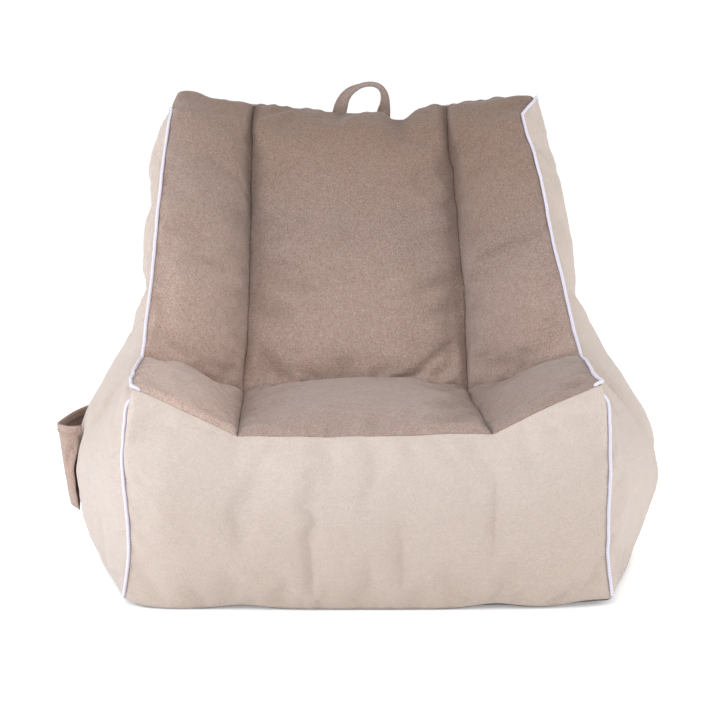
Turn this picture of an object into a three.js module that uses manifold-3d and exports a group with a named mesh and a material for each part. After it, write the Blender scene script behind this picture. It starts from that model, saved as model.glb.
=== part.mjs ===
// Bean bag armchair: a sewn cover of crowned panels with piping, a carry handle, a side pocket and a rear zip,
// around an inner liner full of beads. Millimetres, +X to the sitter's left, +Y to the rear, +Z up.
// The origin is on the floor, at the middle of the base.
import * as THREE from "three";
import { mergeVertices } from "three/addons/utils/BufferGeometryUtils.js";
import Module from "manifold-3d";

// ---------- Driving dimensions ----------

// Seam corners on each side of the cover. The back leans a little to one side, as a filled bag does.
const CORNERS = {
  left: {
    frontFoot: [-351, -383, 9],
    armFront: [-331, -386, 324],
    seatFront: [-183, -391, 253],
    seatBack: [-200, 29, 243],
    armBack: [-354, -116, 326],
    topFront: [-324, 126, 704],
    topRear: [-318, 229, 726],
    wingTop: [-187, 218, 708],
    zipEnd: [-350, 396, 75],
    rearFoot: [-345, 388, 8],
    baseMiddle: [-434, -20, 3],
  },
  right: {
    frontFoot: [358, -383, 9],
    armFront: [338, -386, 330],
    seatFront: [181, -391, 258],
    seatBack: [170, 29, 245],
    armBack: [340, -116, 326],
    topFront: [264, 126, 697],
    topRear: [296, 229, 721],
    wingTop: [141, 218, 704],
    zipEnd: [350, 396, 75],
    rearFoot: [345, 388, 8],
    baseMiddle: [434, -20, 3],
  },
};

// Seams that bend between their corners: the points they pass through, as [x from the first corner, y, z].
const REAR_EDGE = [
  [0, 399, 150],
  [6, 386, 260],
  [14, 345, 410],
  [24, 285, 570],
];
const BACK_SEAM = [
  [10, 72, 400],
  [11, 108, 560],
  [10, 148, 676],
];
const BASE_FRONT_BOW = 20;
const BASE_REAR_BOW = 6;
const SEAT_FRONT_BOW = 8;

// Cells along the seams, which set how finely the panels are divided.
const CELLS = { arm: 3, seat: 6, armLength: 4, backHeight: 8, topDepth: 2, frontHeight: 7 };

// How far each panel stands proud of its seams.
const CROWN = { front: 28, seat: 26, arm: 13, wing: 20, centre: 22, rear: 14 };
const BELLY = { height: 185, spread: 134, depth: 72, everywhere: 6 };

// Layers, as depths below the outer surface.
const PANEL_THICKNESS = 3;
const LINER_OUTER = 5;
const LINER_INNER = 6.6;
const FILL_DEPTH = 8.8;
const SEAM_GAP = 1.5;
const BASE_INSET = 7;
const BASE_THICKNESS = 3;

const PIPING_RADIUS = 2.6;
const PIPING_STANDOFF = 5.6;
const PIPING_SIDES = 8;

// Rear zip, straight across the middle of the back near the floor.
const ZIP_Z = 75;
const ZIP_Y = 410;
const ZIP_STRAIGHT = 236;
const ZIP_SLOT = 13;
const TAPE = { from: 2.3, to: 11.8, outer: 0.6, inner: 2.2 };
const COIL = { from: 0.25, to: 1.9, outer: -0.5, inner: 2.2 };
const SLIDER = { length: 16, height: 11, thickness: 2.4, gap: 0.6, x: -214 };
const BRIDGE = { length: 8, leg: 1.5, inside: 2.6, top: 1.3, width: 3 };
const PULL = { length: 34, width: 9, thickness: 1.6, bar: 1.4, eyeLength: 4.8, eyeWidth: 5 };
const STOP = { length: 4, height: 6, thickness: 1.6, x: 226 };

const HANDLE = { x: -6, spread: 37, width: 25, thickness: 4, rise: 37, y: 221, z: 709.5, segments: 24, twist: 80 };

const POCKET = { rear: 0.37, front: 0.6, bottom: 0.17, top: 0.4, gape: 27, thickness: 2.6, standoff: 4 };
const POCKET_HEM = { share: 0.1, gap: 1.3, proud: 1.2 };

const COLOURS = {
  beige: 0xe2d3c8,
  brown: 0xa98f82,
  white: 0xf2eff2,
  dark: 0x5a4b43,
  lining: 0xe9e6df,
  beads: 0xfbfbfa,
  zip: 0xb9a697,
  metal: 0x8c8780,
};

// ---------- Curves and grids ----------

const vector = (p) => new THREE.Vector3(...p);

// A seam from one corner to another, through any points between, cut into equal cells.
function seam(from, to, cells, through = []) {
  const stops = [from, ...through, to].map(vector);
  return new THREE.CatmullRomCurve3(stops, false, "centripetal").getSpacedPoints(cells);
}

// A straight seam that bows out by a distance at its middle.
function bowed(from, to, cells, bow) {
  return seam(from, to, cells).map((p, i) => {
    const t = (2 * i) / cells - 1;
    return p.addScaledVector(bow, 1 - t * t);
  });
}

const joined = (...seams) => seams.reduce((all, next) => [...all, ...next.slice(1)]);
const reversed = (points) => [...points].reverse();

// A grid of points that meets four boundary seams. Rows run from bottom to top, columns from left to right,
// as seen from outside the bag.
function patch(bottom, top, left, right) {
  const columns = bottom.length - 1;
  const rows = left.length - 1;
  return left.map((start, j) => {
    const v = j / rows;
    return bottom.map((foot, i) => {
      const u = i / columns;
      if (j === 0) return foot.clone();
      if (j === rows) return top[i].clone();
      if (i === 0) return start.clone();
      if (i === columns) return right[j].clone();
      const across = left[j].clone().lerp(right[j], u);
      const along = bottom[i].clone().lerp(top[i], v);
      const low = bottom[0].clone().lerp(bottom[columns], u);
      const high = top[0].clone().lerp(top[columns], u);
      return across.add(along).sub(low.lerp(high, v));
    });
  });
}

// Moves a grid's inner points by what the push function returns for them, and keeps its boundary.
function swell(grid, push) {
  const rows = grid.length - 1;
  const columns = grid[0].length - 1;
  grid.forEach((row, j) =>
    row.forEach((p, i) => {
      if (i > 0 && j > 0 && i < columns && j < rows) p.add(push(i / columns, j / rows, p));
    }),
  );
  return grid;
}

const dome = (t) => 1 - (2 * t - 1) ** 2;
const crown = (x, y, z, depth) => {
  const direction = new THREE.Vector3(x, y, z).normalize();
  return (u, v) => direction.clone().multiplyScalar(depth * Math.sqrt(dome(u) * dome(v)));
};

// ---------- Seams ----------

const offsetPoints = (start, points, sign) => points.map(([dx, y, z]) => [start[0] - sign * dx, y, z]);

function sideSeams(corner, sign) {
  const rearThrough = offsetPoints(corner.zipEnd, REAR_EDGE, sign);
  const seamThrough = offsetPoints(corner.seatBack, BACK_SEAM, sign);
  const backRows = CELLS.backHeight + CELLS.topDepth;
  return {
    frontEdge: seam(corner.frontFoot, corner.armFront, CELLS.frontHeight),
    rearEdge: joined(
      seam(corner.rearFoot, corner.zipEnd, 1),
      seam(corner.zipEnd, corner.topRear, CELLS.frontHeight - 1, rearThrough),
    ),
    outline: joined(
      seam(corner.armFront, corner.armBack, CELLS.armLength),
      seam(corner.armBack, corner.topFront, CELLS.backHeight),
      seam(corner.topFront, corner.topRear, CELLS.topDepth),
    ),
    foot: seam(corner.frontFoot, corner.rearFoot, CELLS.armLength + backRows, [corner.baseMiddle]),
    armInner: seam(corner.seatFront, corner.seatBack, CELLS.armLength),
    armFront: seam(corner.armFront, corner.seatFront, CELLS.arm),
    armBack: seam(corner.armBack, corner.seatBack, CELLS.arm),
    wingInner: seam(corner.seatBack, corner.wingTop, backRows, seamThrough),
    wingTop: seam(corner.topRear, corner.wingTop, CELLS.arm),
  };
}

const left = sideSeams(CORNERS.left, -1);
const right = sideSeams(CORNERS.right, 1);

const frontCells = 2 * CELLS.arm + CELLS.seat;
const forward = new THREE.Vector3(0, -1, 0);
const rearward = new THREE.Vector3(0, 1, 0);
const downward = new THREE.Vector3(0, 0, -1);
const bowOf = (direction, depth) => direction.clone().multiplyScalar(depth);

const between = (name, cells, bow) => bowed(CORNERS.left[name], CORNERS.right[name], cells, bow);
const footFront = between("frontFoot", frontCells, bowOf(forward, BASE_FRONT_BOW).addScaledVector(downward, 6));
const footRear = between("rearFoot", frontCells, bowOf(rearward, BASE_REAR_BOW).addScaledVector(downward, 4));
const seatFront = between("seatFront", CELLS.seat, bowOf(forward, SEAT_FRONT_BOW));
const seatBack = between("seatBack", CELLS.seat, bowOf(forward, 0));
const backTop = between("wingTop", CELLS.seat, bowOf(forward, 0));

// The zip line is straight in its middle and turns forward to the side seams at its ends.
const zipLine = between("zipEnd", frontCells, bowOf(forward, 0)).map((p) => {
  const past = Math.max(0, Math.abs(p.x) - ZIP_STRAIGHT) / (CORNERS.right.zipEnd[0] - ZIP_STRAIGHT);
  return new THREE.Vector3(p.x, ZIP_Y - (ZIP_Y - CORNERS.left.zipEnd[1]) * past ** 2, ZIP_Z);
});

const frontTop = joined(left.armFront, seatFront, reversed(right.armFront));
const rearTop = joined(left.wingTop, backTop, reversed(right.wingTop));
const lastRow = CELLS.armLength;
const armOutline = (side) => side.outline.slice(0, lastRow + 1);
const backOutline = (side) => side.outline.slice(lastRow);

// ---------- The outer surface, panel by panel ----------

// The side walls belly outwards, most of all a little above the floor.
function belly(sign) {
  const { height, spread, depth, everywhere } = BELLY;
  return (u, v, p) => {
    const reach = depth * Math.exp(-(((p.z - height) / spread) ** 2)) + everywhere;
    const fade = Math.sin(Math.PI * u) ** 0.8 * (1 - (1 - v) ** 10) * (1 - v ** 8);
    return new THREE.Vector3(sign * reach * fade, 0, 0);
  };
}

const surface = {
  front_panel: swell(patch(footFront, frontTop, left.frontEdge, right.frontEdge), crown(0, -1, 0, CROWN.front)),
  left_side_panel: swell(
    patch(reversed(left.foot), reversed(left.outline), left.rearEdge, left.frontEdge),
    belly(-1),
  ),
  right_side_panel: swell(patch(right.foot, right.outline, right.frontEdge, right.rearEdge), belly(1)),
  seat_panel: swell(patch(seatFront, seatBack, left.armInner, right.armInner), crown(0, 0, 1, CROWN.seat)),
  left_arm_panel: swell(
    patch(left.armFront, left.armBack, armOutline(left), left.armInner),
    crown(0.25, 0, 1, CROWN.arm),
  ),
  right_arm_panel: swell(
    patch(reversed(right.armFront), reversed(right.armBack), right.armInner, armOutline(right)),
    crown(-0.25, 0, 1, CROWN.arm),
  ),
  back_left_panel: swell(
    patch(left.armBack, left.wingTop, backOutline(left), left.wingInner),
    crown(0.2, -1, 0.35, CROWN.wing),
  ),
  back_centre_panel: swell(
    patch(seatBack, backTop, left.wingInner, right.wingInner),
    crown(0, -1, 0.35, CROWN.centre),
  ),
  back_right_panel: swell(
    patch(reversed(right.armBack), reversed(right.wingTop), right.wingInner, backOutline(right)),
    crown(-0.2, -1, 0.35, CROWN.wing),
  ),
  rear_panel: swell(
    patch(reversed(zipLine), reversed(rearTop), right.rearEdge.slice(1), left.rearEdge.slice(1)),
    crown(0, 1, 0, CROWN.rear),
  ),
  rear_strip: patch(reversed(footRear), reversed(zipLine), right.rearEdge.slice(0, 2), left.rearEdge.slice(0, 2)),
};

// The foot seam runs once round the base; the cap under it closes the surface.
const footRing = joined(footFront, right.foot, reversed(footRear), reversed(left.foot)).slice(0, -1);
const flat = footRing.map((p) => new THREE.Vector2(p.x, p.y));
const capFaces = THREE.ShapeUtils.triangulateShape(flat, []).map(([a, b, c]) => [a, c, b]);

// ---------- Depth below the surface ----------

// Points closer than a step of 1 / KEY_STEPS mm count as the same point.
const KEY_STEPS = 20;

const keyOf = (p) => [p.x, p.y, p.z].map((value) => Math.round(value * KEY_STEPS)).join();
const cellTriangles = (a, b, c, d) => [
  [a, b, c],
  [a, c, d],
];

function gridTriangles(grid) {
  const faces = [];
  for (let j = 0; j + 1 < grid.length; j++) {
    for (let i = 0; i + 1 < grid[0].length; i++) {
      faces.push(...cellTriangles(grid[j][i], grid[j][i + 1], grid[j + 1][i + 1], grid[j + 1][i]));
    }
  }
  return faces;
}

// One outward direction for each point of the surface, shared by every panel that meets there. Each facet counts
// by the angle of its corner at the point.
const outward = new Map();
const cap = capFaces.map((face) => face.map((index) => footRing[index]));
for (const [a, b, c] of [...Object.values(surface).flatMap(gridTriangles), ...cap]) {
  const facing = b.clone().sub(a).cross(c.clone().sub(a)).normalize();
  for (const [p, next, last] of [[a, b, c], [b, c, a], [c, a, b]]) {
    const corner = next.clone().sub(p).angleTo(last.clone().sub(p));
    const sum = outward.get(keyOf(p)) ?? new THREE.Vector3();
    outward.set(keyOf(p), sum.addScaledVector(facing, corner));
  }
}
outward.forEach((direction) => direction.normalize());

const sunk = (p, depth) => p.clone().addScaledVector(outward.get(keyOf(p)), -depth);

// A grid at a depth, with its four edges drawn in by the trims.
function layer(grid, depth, trims) {
  const result = grid.map((row) => row.map((p) => sunk(p, depth)));
  const rows = grid.length - 1;
  const columns = grid[0].length - 1;
  const pull = (edge, next, amount) => {
    const [j, i] = edge;
    const [nj, ni] = next;
    const share = amount / grid[j][i].distanceTo(grid[nj][ni]);
    result[j][i].lerp(result[nj][ni], share);
  };
  for (let j = 0; j <= rows; j++) {
    pull([j, 0], [j, 1], trims.left);
    pull([j, columns], [j, columns - 1], trims.right);
  }
  for (let i = 0; i <= columns; i++) {
    pull([0, i], [1, i], trims.bottom);
    pull([rows, i], [rows - 1, i], trims.top);
  }
  return result;
}

// ---------- Closed bodies ----------

function bodyOf(triangles) {
  const numbers = triangles.flat().flatMap((p) => [p.x, p.y, p.z]);
  const geometry = new THREE.BufferGeometry();
  geometry.setAttribute("position", new THREE.Float32BufferAttribute(numbers, 3));
  geometry.computeVertexNormals();
  return geometry;
}

const turned = (triangles) => triangles.map(([a, b, c]) => [a, c, b]);

// The points round the edge of a grid, anticlockwise as seen from outside.
function rimOf(grid) {
  const last = grid[0].length - 1;
  return [
    ...grid[0].slice(0, -1),
    ...grid.slice(0, -1).map((row) => row[last]),
    ...reversed(grid[grid.length - 1]).slice(0, -1),
    ...reversed(grid.slice(1)).map((row) => row[0]),
  ];
}

function wall(outer, inner) {
  return outer.flatMap((p, i) => {
    const next = (i + 1) % outer.length;
    return cellTriangles(p, inner[i], inner[next], outer[next]);
  });
}

const slab = (outer, inner) =>
  bodyOf([...gridTriangles(outer), ...turned(gridTriangles(inner)), ...wall(rimOf(outer), rimOf(inner))]);

const SEAM_TRIMS = { left: SEAM_GAP, right: SEAM_GAP, bottom: SEAM_GAP, top: SEAM_GAP };
const PANEL_TRIMS = {
  rear_panel: { ...SEAM_TRIMS, bottom: ZIP_SLOT },
  rear_strip: { ...SEAM_TRIMS, top: ZIP_SLOT },
};

function panel(name) {
  const trims = PANEL_TRIMS[name] ?? SEAM_TRIMS;
  return slab(layer(surface[name], 0, trims), layer(surface[name], PANEL_THICKNESS, trims));
}

const sunkFaces = (faces, depth) => faces.map((face) => face.map((p) => sunk(p, depth)));
const basePoints = footRing.map((p) => {
  const inward = outward.get(keyOf(p)).clone().setZ(0).normalize();
  const q = p.clone().addScaledVector(inward, -BASE_INSET);
  return new THREE.Vector2(q.x, q.y);
});
const basePanel = () =>
  new THREE.ExtrudeGeometry(new THREE.Shape(basePoints), { depth: BASE_THICKNESS, bevelEnabled: false });

// The liner's filling slot is a block of cells in the middle of the rear, low down.
const SLOT = { row: 1, firstColumn: 4, lastColumn: 8 };
const slotGrid = surface.rear_panel
  .slice(SLOT.row, SLOT.row + 2)
  .map((row) => row.slice(SLOT.firstColumn, SLOT.lastColumn + 1));

function innerLiner() {
  const slotFaces = new Set(gridTriangles(slotGrid).map((face) => face.map(keyOf).join()));
  const faces = [...Object.values(surface).flatMap(gridTriangles), ...cap].filter(
    (face) => !slotFaces.has(face.map(keyOf).join()),
  );
  const rim = rimOf(slotGrid);
  const slotWall = wall(
    rim.map((p) => sunk(p, LINER_OUTER)),
    rim.map((p) => sunk(p, LINER_INNER)),
  );
  return bodyOf([...sunkFaces(faces, LINER_OUTER), ...turned(sunkFaces(faces, LINER_INNER)), ...turned(slotWall)]);
}

const CLOSURE_TRIMS = { left: 1, right: 1, bottom: 1, top: 1 };
const linerClosure = () =>
  slab(layer(slotGrid, LINER_OUTER, CLOSURE_TRIMS), layer(slotGrid, LINER_INNER, CLOSURE_TRIMS));

const beadFill = () => bodyOf(sunkFaces([...Object.values(surface).flatMap(gridTriangles), ...cap], FILL_DEPTH));

// ---------- Piping ----------

// A round cord along a seam, standing just outside it, cut short at its ends.
function piping(points, stepsPerCell, startCut, endCut) {
  const path = points.map((p) => sunk(p, -PIPING_STANDOFF));
  const last = path.length - 1;
  path[0].lerp(path[1], startCut / path[0].distanceTo(path[1]));
  path[last].lerp(path[last - 1], endCut / path[last].distanceTo(path[last - 1]));
  const section = Array.from({ length: PIPING_SIDES }, (_, k) => {
    const angle = (2 * Math.PI * k) / PIPING_SIDES;
    return new THREE.Vector2(PIPING_RADIUS * Math.cos(angle), PIPING_RADIUS * Math.sin(angle));
  });
  return new THREE.ExtrudeGeometry(new THREE.Shape(section), {
    steps: last * stepsPerCell,
    bevelEnabled: false,
    extrudePath: new THREE.CatmullRomCurve3(path, false, "centripetal"),
  });
}

const frontPiping = (side) => piping(side.frontEdge, 1, 4, 14);
const backPiping = (side) => piping([...side.outline, ...reversed(side.rearEdge).slice(1)], 2, 3, 4);

// ---------- Carry handle ----------

// A strap that stands in an arch. It is flat to the front at its feet and turns to lie flat at its crown.
function carryHandle() {
  const { x, spread, width, thickness, rise, y, z, segments, twist } = HANDLE;
  const rings = Array.from({ length: segments + 1 }, (_, k) => {
    const t = k / segments;
    const angle = Math.PI * t;
    const centre = new THREE.Vector3(x - spread * Math.cos(angle), y, z + rise * Math.sin(angle));
    const along = new THREE.Vector3(spread * Math.sin(angle), 0, rise * Math.cos(angle)).normalize();
    const turn = THREE.MathUtils.degToRad(twist) * Math.sin(angle) ** 1.5;
    const level = new THREE.Vector3(0, 1, 0);
    const across = along.clone().cross(level).multiplyScalar(Math.cos(turn)).addScaledVector(level, Math.sin(turn));
    const through = across.clone().cross(along);
    const corner = (a, b) =>
      centre
        .clone()
        .addScaledVector(across, (a * width) / 2)
        .addScaledVector(through, (b * thickness) / 2);
    return [corner(-1, -1), corner(1, -1), corner(1, 1), corner(-1, 1)];
  });
  const sides = rings.slice(1).flatMap((ring, k) =>
    ring.flatMap((p, i) => {
      const next = (i + 1) % ring.length;
      return cellTriangles(rings[k][i], p, ring[next], rings[k][next]);
    }),
  );
  const [first, last] = [rings[0], rings[segments]];
  return bodyOf([...sides, ...cellTriangles(...first), ...turned(cellTriangles(...last))]);
}

// ---------- Side pocket ----------

// A point of the left side wall, and the direction outwards there, at fractions along and up the wall.
function onWall(u, v) {
  const grid = surface.left_side_panel;
  const [x, y] = [u * (grid[0].length - 1), v * (grid.length - 1)];
  const [i, j] = [Math.floor(x), Math.floor(y)];
  const blend = (value) => {
    const low = value(grid[j][i]).lerp(value(grid[j][i + 1]), x - i);
    const high = value(grid[j + 1][i]).lerp(value(grid[j + 1][i + 1]), x - i);
    return low.lerp(high, y - j);
  };
  return { point: blend((p) => p.clone()), out: blend((p) => outward.get(keyOf(p)).clone()).normalize() };
}

const POCKET_CELLS = { across: 8, up: 6 };

// Part of the pocket's cloth, from one height to another, at a distance outside its own back face.
function pocketGrid(low, high, rows, beyond) {
  const { rear, front, bottom, top, gape, standoff } = POCKET;
  return Array.from({ length: rows + 1 }, (_, j) =>
    Array.from({ length: POCKET_CELLS.across + 1 }, (_, i) => {
      const s = i / POCKET_CELLS.across;
      const t = low + ((high - low) * j) / rows;
      const { point, out } = onWall(rear + (front - rear) * s, bottom + (top - bottom) * t);
      const hang = gape * Math.sin(Math.PI * s) ** 0.6 * (0.4 * t ** 0.3 + 0.6 * t ** 1.4);
      return point.addScaledVector(out, standoff + hang + beyond);
    }),
  );
}

const pocketPanel = () =>
  slab(pocketGrid(0, 1, POCKET_CELLS.up, POCKET.thickness), pocketGrid(0, 1, POCKET_CELLS.up, 0));

function pocketHem() {
  const start = POCKET.thickness + POCKET_HEM.gap;
  const low = 1 - POCKET_HEM.share;
  return slab(pocketGrid(low, 1, 1, start + POCKET_HEM.proud), pocketGrid(low, 1, 1, start));
}

// ---------- Rear zip ----------

// A band of cloth beside the zip line, between two distances from it, above or below.
function zipBand(grid, { from, to, outer, inner }) {
  const band = (depth) => {
    const [line, next] = grid.map((row) => row.map((p) => sunk(p, depth)));
    const row = (distance) => line.map((p, i) => p.clone().lerp(next[i], distance / p.distanceTo(next[i])));
    const rows = [row(from), row(to)];
    rows.forEach((points) => {
      points[0].lerp(points[1], SEAM_GAP / points[0].distanceTo(points[1]));
      const last = points.length - 1;
      points[last].lerp(points[last - 1], SEAM_GAP / points[last].distanceTo(points[last - 1]));
    });
    return grid.rising ? rows : reversed(rows);
  };
  return slab(band(outer), band(inner));
}

const aboveZip = Object.assign(surface.rear_panel.slice(0, 2), { rising: true });
const belowZip = Object.assign(reversed(surface.rear_strip), { rising: false });

const boxShape = (length, height) =>
  new THREE.Shape([
    new THREE.Vector2(-length / 2, 0),
    new THREE.Vector2(length / 2, 0),
    new THREE.Vector2(length / 2, height),
    new THREE.Vector2(-length / 2, height),
  ]);

// A rounded bar outline along x, from one end to the other.
function barShape(x0, x1, width, radius) {
  const shape = new THREE.Shape();
  const half = width / 2 - radius;
  shape.absarc(x0 + radius, -half, radius, Math.PI, 1.5 * Math.PI);
  shape.absarc(x1 - radius, -half, radius, 1.5 * Math.PI, 2 * Math.PI);
  shape.absarc(x1 - radius, half, radius, 0, 0.5 * Math.PI);
  shape.absarc(x0 + radius, half, radius, 0.5 * Math.PI, Math.PI);
  return shape;
}

const wasm = await Module();
wasm.setup();

function solidOf(geometry) {
  const plain = new THREE.BufferGeometry();
  plain.setAttribute("position", geometry.getAttribute("position"));
  const merged = mergeVertices(plain, 1e-4);
  return new wasm.Manifold(
    new wasm.Mesh({
      numProp: 3,
      vertProperties: merged.attributes.position.array,
      triVerts: new Uint32Array(merged.index.array),
    }),
  );
}

function fused(a, b) {
  const mesh = solidOf(a).add(solidOf(b)).getMesh();
  const geometry = new THREE.BufferGeometry();
  geometry.setAttribute("position", new THREE.BufferAttribute(mesh.vertProperties, 3));
  geometry.setIndex(new THREE.BufferAttribute(mesh.triVerts, 1));
  geometry.computeVertexNormals();
  return geometry;
}

const plate = (shape, depth) =>
  new THREE.ExtrudeGeometry(shape, { depth, bevelEnabled: false, curveSegments: 4 }).rotateX(Math.PI / 2);

// The slider rides just outside the coils; a small bridge on it holds the pull tab's bar.
const sliderBack = ZIP_Y - COIL.outer + SLIDER.gap;
const barY = sliderBack + SLIDER.thickness + BRIDGE.inside / 2;

function zipSlider() {
  const body = plate(barShape(-SLIDER.length / 2, SLIDER.length / 2, SLIDER.height, 3), SLIDER.thickness);
  body.translate(0, SLIDER.thickness, 0);
  const arch = boxShape(BRIDGE.length, BRIDGE.inside + BRIDGE.top + 0.5);
  const hole = boxShape(BRIDGE.length - 2 * BRIDGE.leg, BRIDGE.inside).getPoints();
  arch.holes.push(new THREE.Path(hole.map((p) => p.add(new THREE.Vector2(0, 0.5)))));
  const bridge = new THREE.ExtrudeGeometry(arch, { depth: BRIDGE.width, bevelEnabled: false });
  bridge.translate(0, SLIDER.thickness - 0.5, -BRIDGE.width / 2);
  return fused(body, bridge);
}

function zipPull() {
  const shape = barShape(-PULL.length, PULL.bar / 2, PULL.width, 0.6);
  const eye = boxShape(PULL.eyeLength, PULL.eyeWidth).getPoints();
  const shift = new THREE.Vector2(-PULL.bar / 2 - PULL.eyeLength / 2, -PULL.eyeWidth / 2);
  shape.holes.push(new THREE.Path(eye.map((p) => p.add(shift))));
  return plate(shape, PULL.thickness).translate(0, PULL.thickness / 2, 0);
}

const zipStop = () => new THREE.BoxGeometry(STOP.length, STOP.thickness, STOP.height);

// ---------- The chair ----------

const chair = new THREE.Group();

function add(name, geometry, colour, roughness = 0.95, metalness = 0) {
  const mesh = new THREE.Mesh(geometry, new THREE.MeshStandardMaterial({ color: colour, roughness, metalness }));
  mesh.name = name;
  chair.add(mesh);
  return mesh;
}

const BEIGE = ["front_panel", "left_side_panel", "right_side_panel", "rear_panel", "rear_strip"];
for (const name of Object.keys(surface)) {
  add(name, panel(name), BEIGE.includes(name) ? COLOURS.beige : COLOURS.brown);
}
add("base_panel", basePanel(), COLOURS.dark);
add("inner_liner", innerLiner(), COLOURS.lining);
add("liner_closure", linerClosure(), COLOURS.lining);
add("bead_fill", beadFill(), COLOURS.beads);

for (const [name, side] of Object.entries({ left, right })) {
  add(`piping_front_${name}`, frontPiping(side), COLOURS.white, 0.8);
  add(`piping_back_${name}`, backPiping(side), COLOURS.white, 0.8);
}

add("carry_handle", carryHandle(), COLOURS.brown);
add("pocket_panel", pocketPanel(), COLOURS.brown);
add("pocket_hem", pocketHem(), COLOURS.brown);

for (const [name, grid] of Object.entries({ upper: aboveZip, lower: belowZip })) {
  add(`zip_tape_${name}`, zipBand(grid, TAPE), COLOURS.zip);
  add(`zip_coil_${name}`, zipBand(grid, COIL), COLOURS.zip, 0.5);
}
add("zip_slider", zipSlider(), COLOURS.metal, 0.4, 0.9).position.set(SLIDER.x, sliderBack, ZIP_Z);
add("zip_pull", zipPull(), COLOURS.metal, 0.4, 0.9).position.set(SLIDER.x, barY, ZIP_Z);
for (const [name, sign] of Object.entries({ left: -1, right: 1 })) {
  const y = ZIP_Y - COIL.outer + 0.4 + STOP.thickness / 2;
  add(`zip_stop_${name}`, zipStop(), COLOURS.metal, 0.4, 0.9).position.set(sign * STOP.x, y, ZIP_Z);
}

export default chair;
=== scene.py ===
"""The looks of a bean bag armchair.

Sewn micro-suede panels settled by cloth simulation, with piping, a handle, a pocket and a zip.
Metres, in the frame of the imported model: +X right, +Y to the rear, +Z up, origin on the floor.
"""
import math

import bpy
import numpy as np
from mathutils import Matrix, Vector
from mathutils.bvhtree import BVHTree


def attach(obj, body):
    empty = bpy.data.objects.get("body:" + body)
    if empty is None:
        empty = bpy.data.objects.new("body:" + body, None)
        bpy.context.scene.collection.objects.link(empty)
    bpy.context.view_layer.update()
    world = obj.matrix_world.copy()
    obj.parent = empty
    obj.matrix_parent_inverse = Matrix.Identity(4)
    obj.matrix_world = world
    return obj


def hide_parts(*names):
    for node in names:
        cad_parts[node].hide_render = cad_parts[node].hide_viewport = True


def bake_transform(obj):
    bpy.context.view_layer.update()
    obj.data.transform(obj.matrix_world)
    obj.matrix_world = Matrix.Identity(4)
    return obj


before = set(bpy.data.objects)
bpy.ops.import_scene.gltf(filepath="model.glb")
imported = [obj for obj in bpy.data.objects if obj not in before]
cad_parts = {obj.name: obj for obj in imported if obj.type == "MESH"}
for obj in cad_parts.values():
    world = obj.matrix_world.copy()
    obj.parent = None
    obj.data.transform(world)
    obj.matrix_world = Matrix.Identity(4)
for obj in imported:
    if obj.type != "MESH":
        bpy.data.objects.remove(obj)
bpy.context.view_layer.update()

# ---------- Driving dimensions ----------

# Seam corners on each side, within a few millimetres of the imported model's.
LEFT = {
    "front_foot": (-0.351, -0.383, 0.011),
    "arm_front": (-0.334, -0.386, 0.324),
    "seat_front": (-0.183, -0.391, 0.253),
    "seat_back": (-0.200, 0.029, 0.243),
    "arm_back": (-0.351, -0.116, 0.326),
    "top_front": (-0.324, 0.126, 0.703),
    "top_rear": (-0.335, 0.226, 0.704),
    "wing_top": (-0.187, 0.218, 0.718),
    "zip_end": (-0.350, 0.396, 0.075),
    "rear_foot": (-0.345, 0.388, 0.008),
    "base_middle": (-0.434, -0.020, 0.003),
}
RIGHT = {
    "front_foot": (0.358, -0.383, 0.009),
    "arm_front": (0.338, -0.386, 0.330),
    "seat_front": (0.181, -0.391, 0.258),
    "seat_back": (0.170, 0.029, 0.245),
    "arm_back": (0.340, -0.116, 0.326),
    "top_front": (0.264, 0.126, 0.697),
    "top_rear": (0.296, 0.229, 0.723),
    "wing_top": (0.141, 0.218, 0.713),
    "zip_end": (0.350, 0.396, 0.075),
    "rear_foot": (0.345, 0.388, 0.008),
    "base_middle": (0.434, -0.020, 0.003),
}

# Points that the seams pass through between their corners, where a filled bag pulls them off the straight.
FRONT_EDGE = {
    "left": [(-0.339, -0.389, 0.085), (-0.349, -0.391, 0.215), (-0.340, -0.390, 0.300)],
    "right": [(0.350, -0.389, 0.080), (0.350, -0.391, 0.210), (0.345, -0.390, 0.300)],
}
ARM_EDGE = {
    "left": [(-0.342, -0.270, 0.329)],
    "right": [(0.334, -0.270, 0.331)],
}
BACK_EDGE = {
    "left": [(-0.343, -0.060, 0.412), (-0.338, 0.020, 0.530), (-0.330, 0.085, 0.632)],
    "right": [(0.324, -0.066, 0.402), (0.304, 0.010, 0.512), (0.286, 0.070, 0.604)],
}
BACK_SEAM = {
    "left": [(-0.190, 0.072, 0.400), (-0.189, 0.108, 0.560), (-0.190, 0.148, 0.676)],
    "right": [(0.163, 0.072, 0.400), (0.150, 0.108, 0.560), (0.139, 0.148, 0.676)],
}
# Both rear edges: the left one is this one mirrored.
REAR_EDGE = [(0.350, 0.399, 0.150), (0.344, 0.386, 0.260), (0.338, 0.345, 0.410), (0.330, 0.285, 0.570)]
FOOT_FRONT = [
    (-0.318, -0.396, 0.003), (-0.180, -0.404, 0.002), (0.0, -0.406, 0.002), (0.190, -0.403, 0.002),
    (0.300, -0.395, 0.004),
]
FOOT_REAR = [(0.0, 0.394, 0.004)]
SEAT_FRONT = [(-0.090, -0.397, 0.254), (0.060, -0.399, 0.257)]
ARM_FRONT = {"left": [(-0.262, -0.393, 0.293)], "right": [(0.262, -0.393, 0.297)]}
TOP_REAR = [
    (-0.120, 0.220, 0.708), (-0.045, 0.221, 0.701), (0.030, 0.221, 0.697), (0.062, 0.221, 0.683),
    (0.090, 0.221, 0.702),
]
WING_TOP = {"left": [(-0.320, 0.226, 0.720), (-0.262, 0.226, 0.719)], "right": [(0.228, 0.226, 0.718)]}

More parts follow.
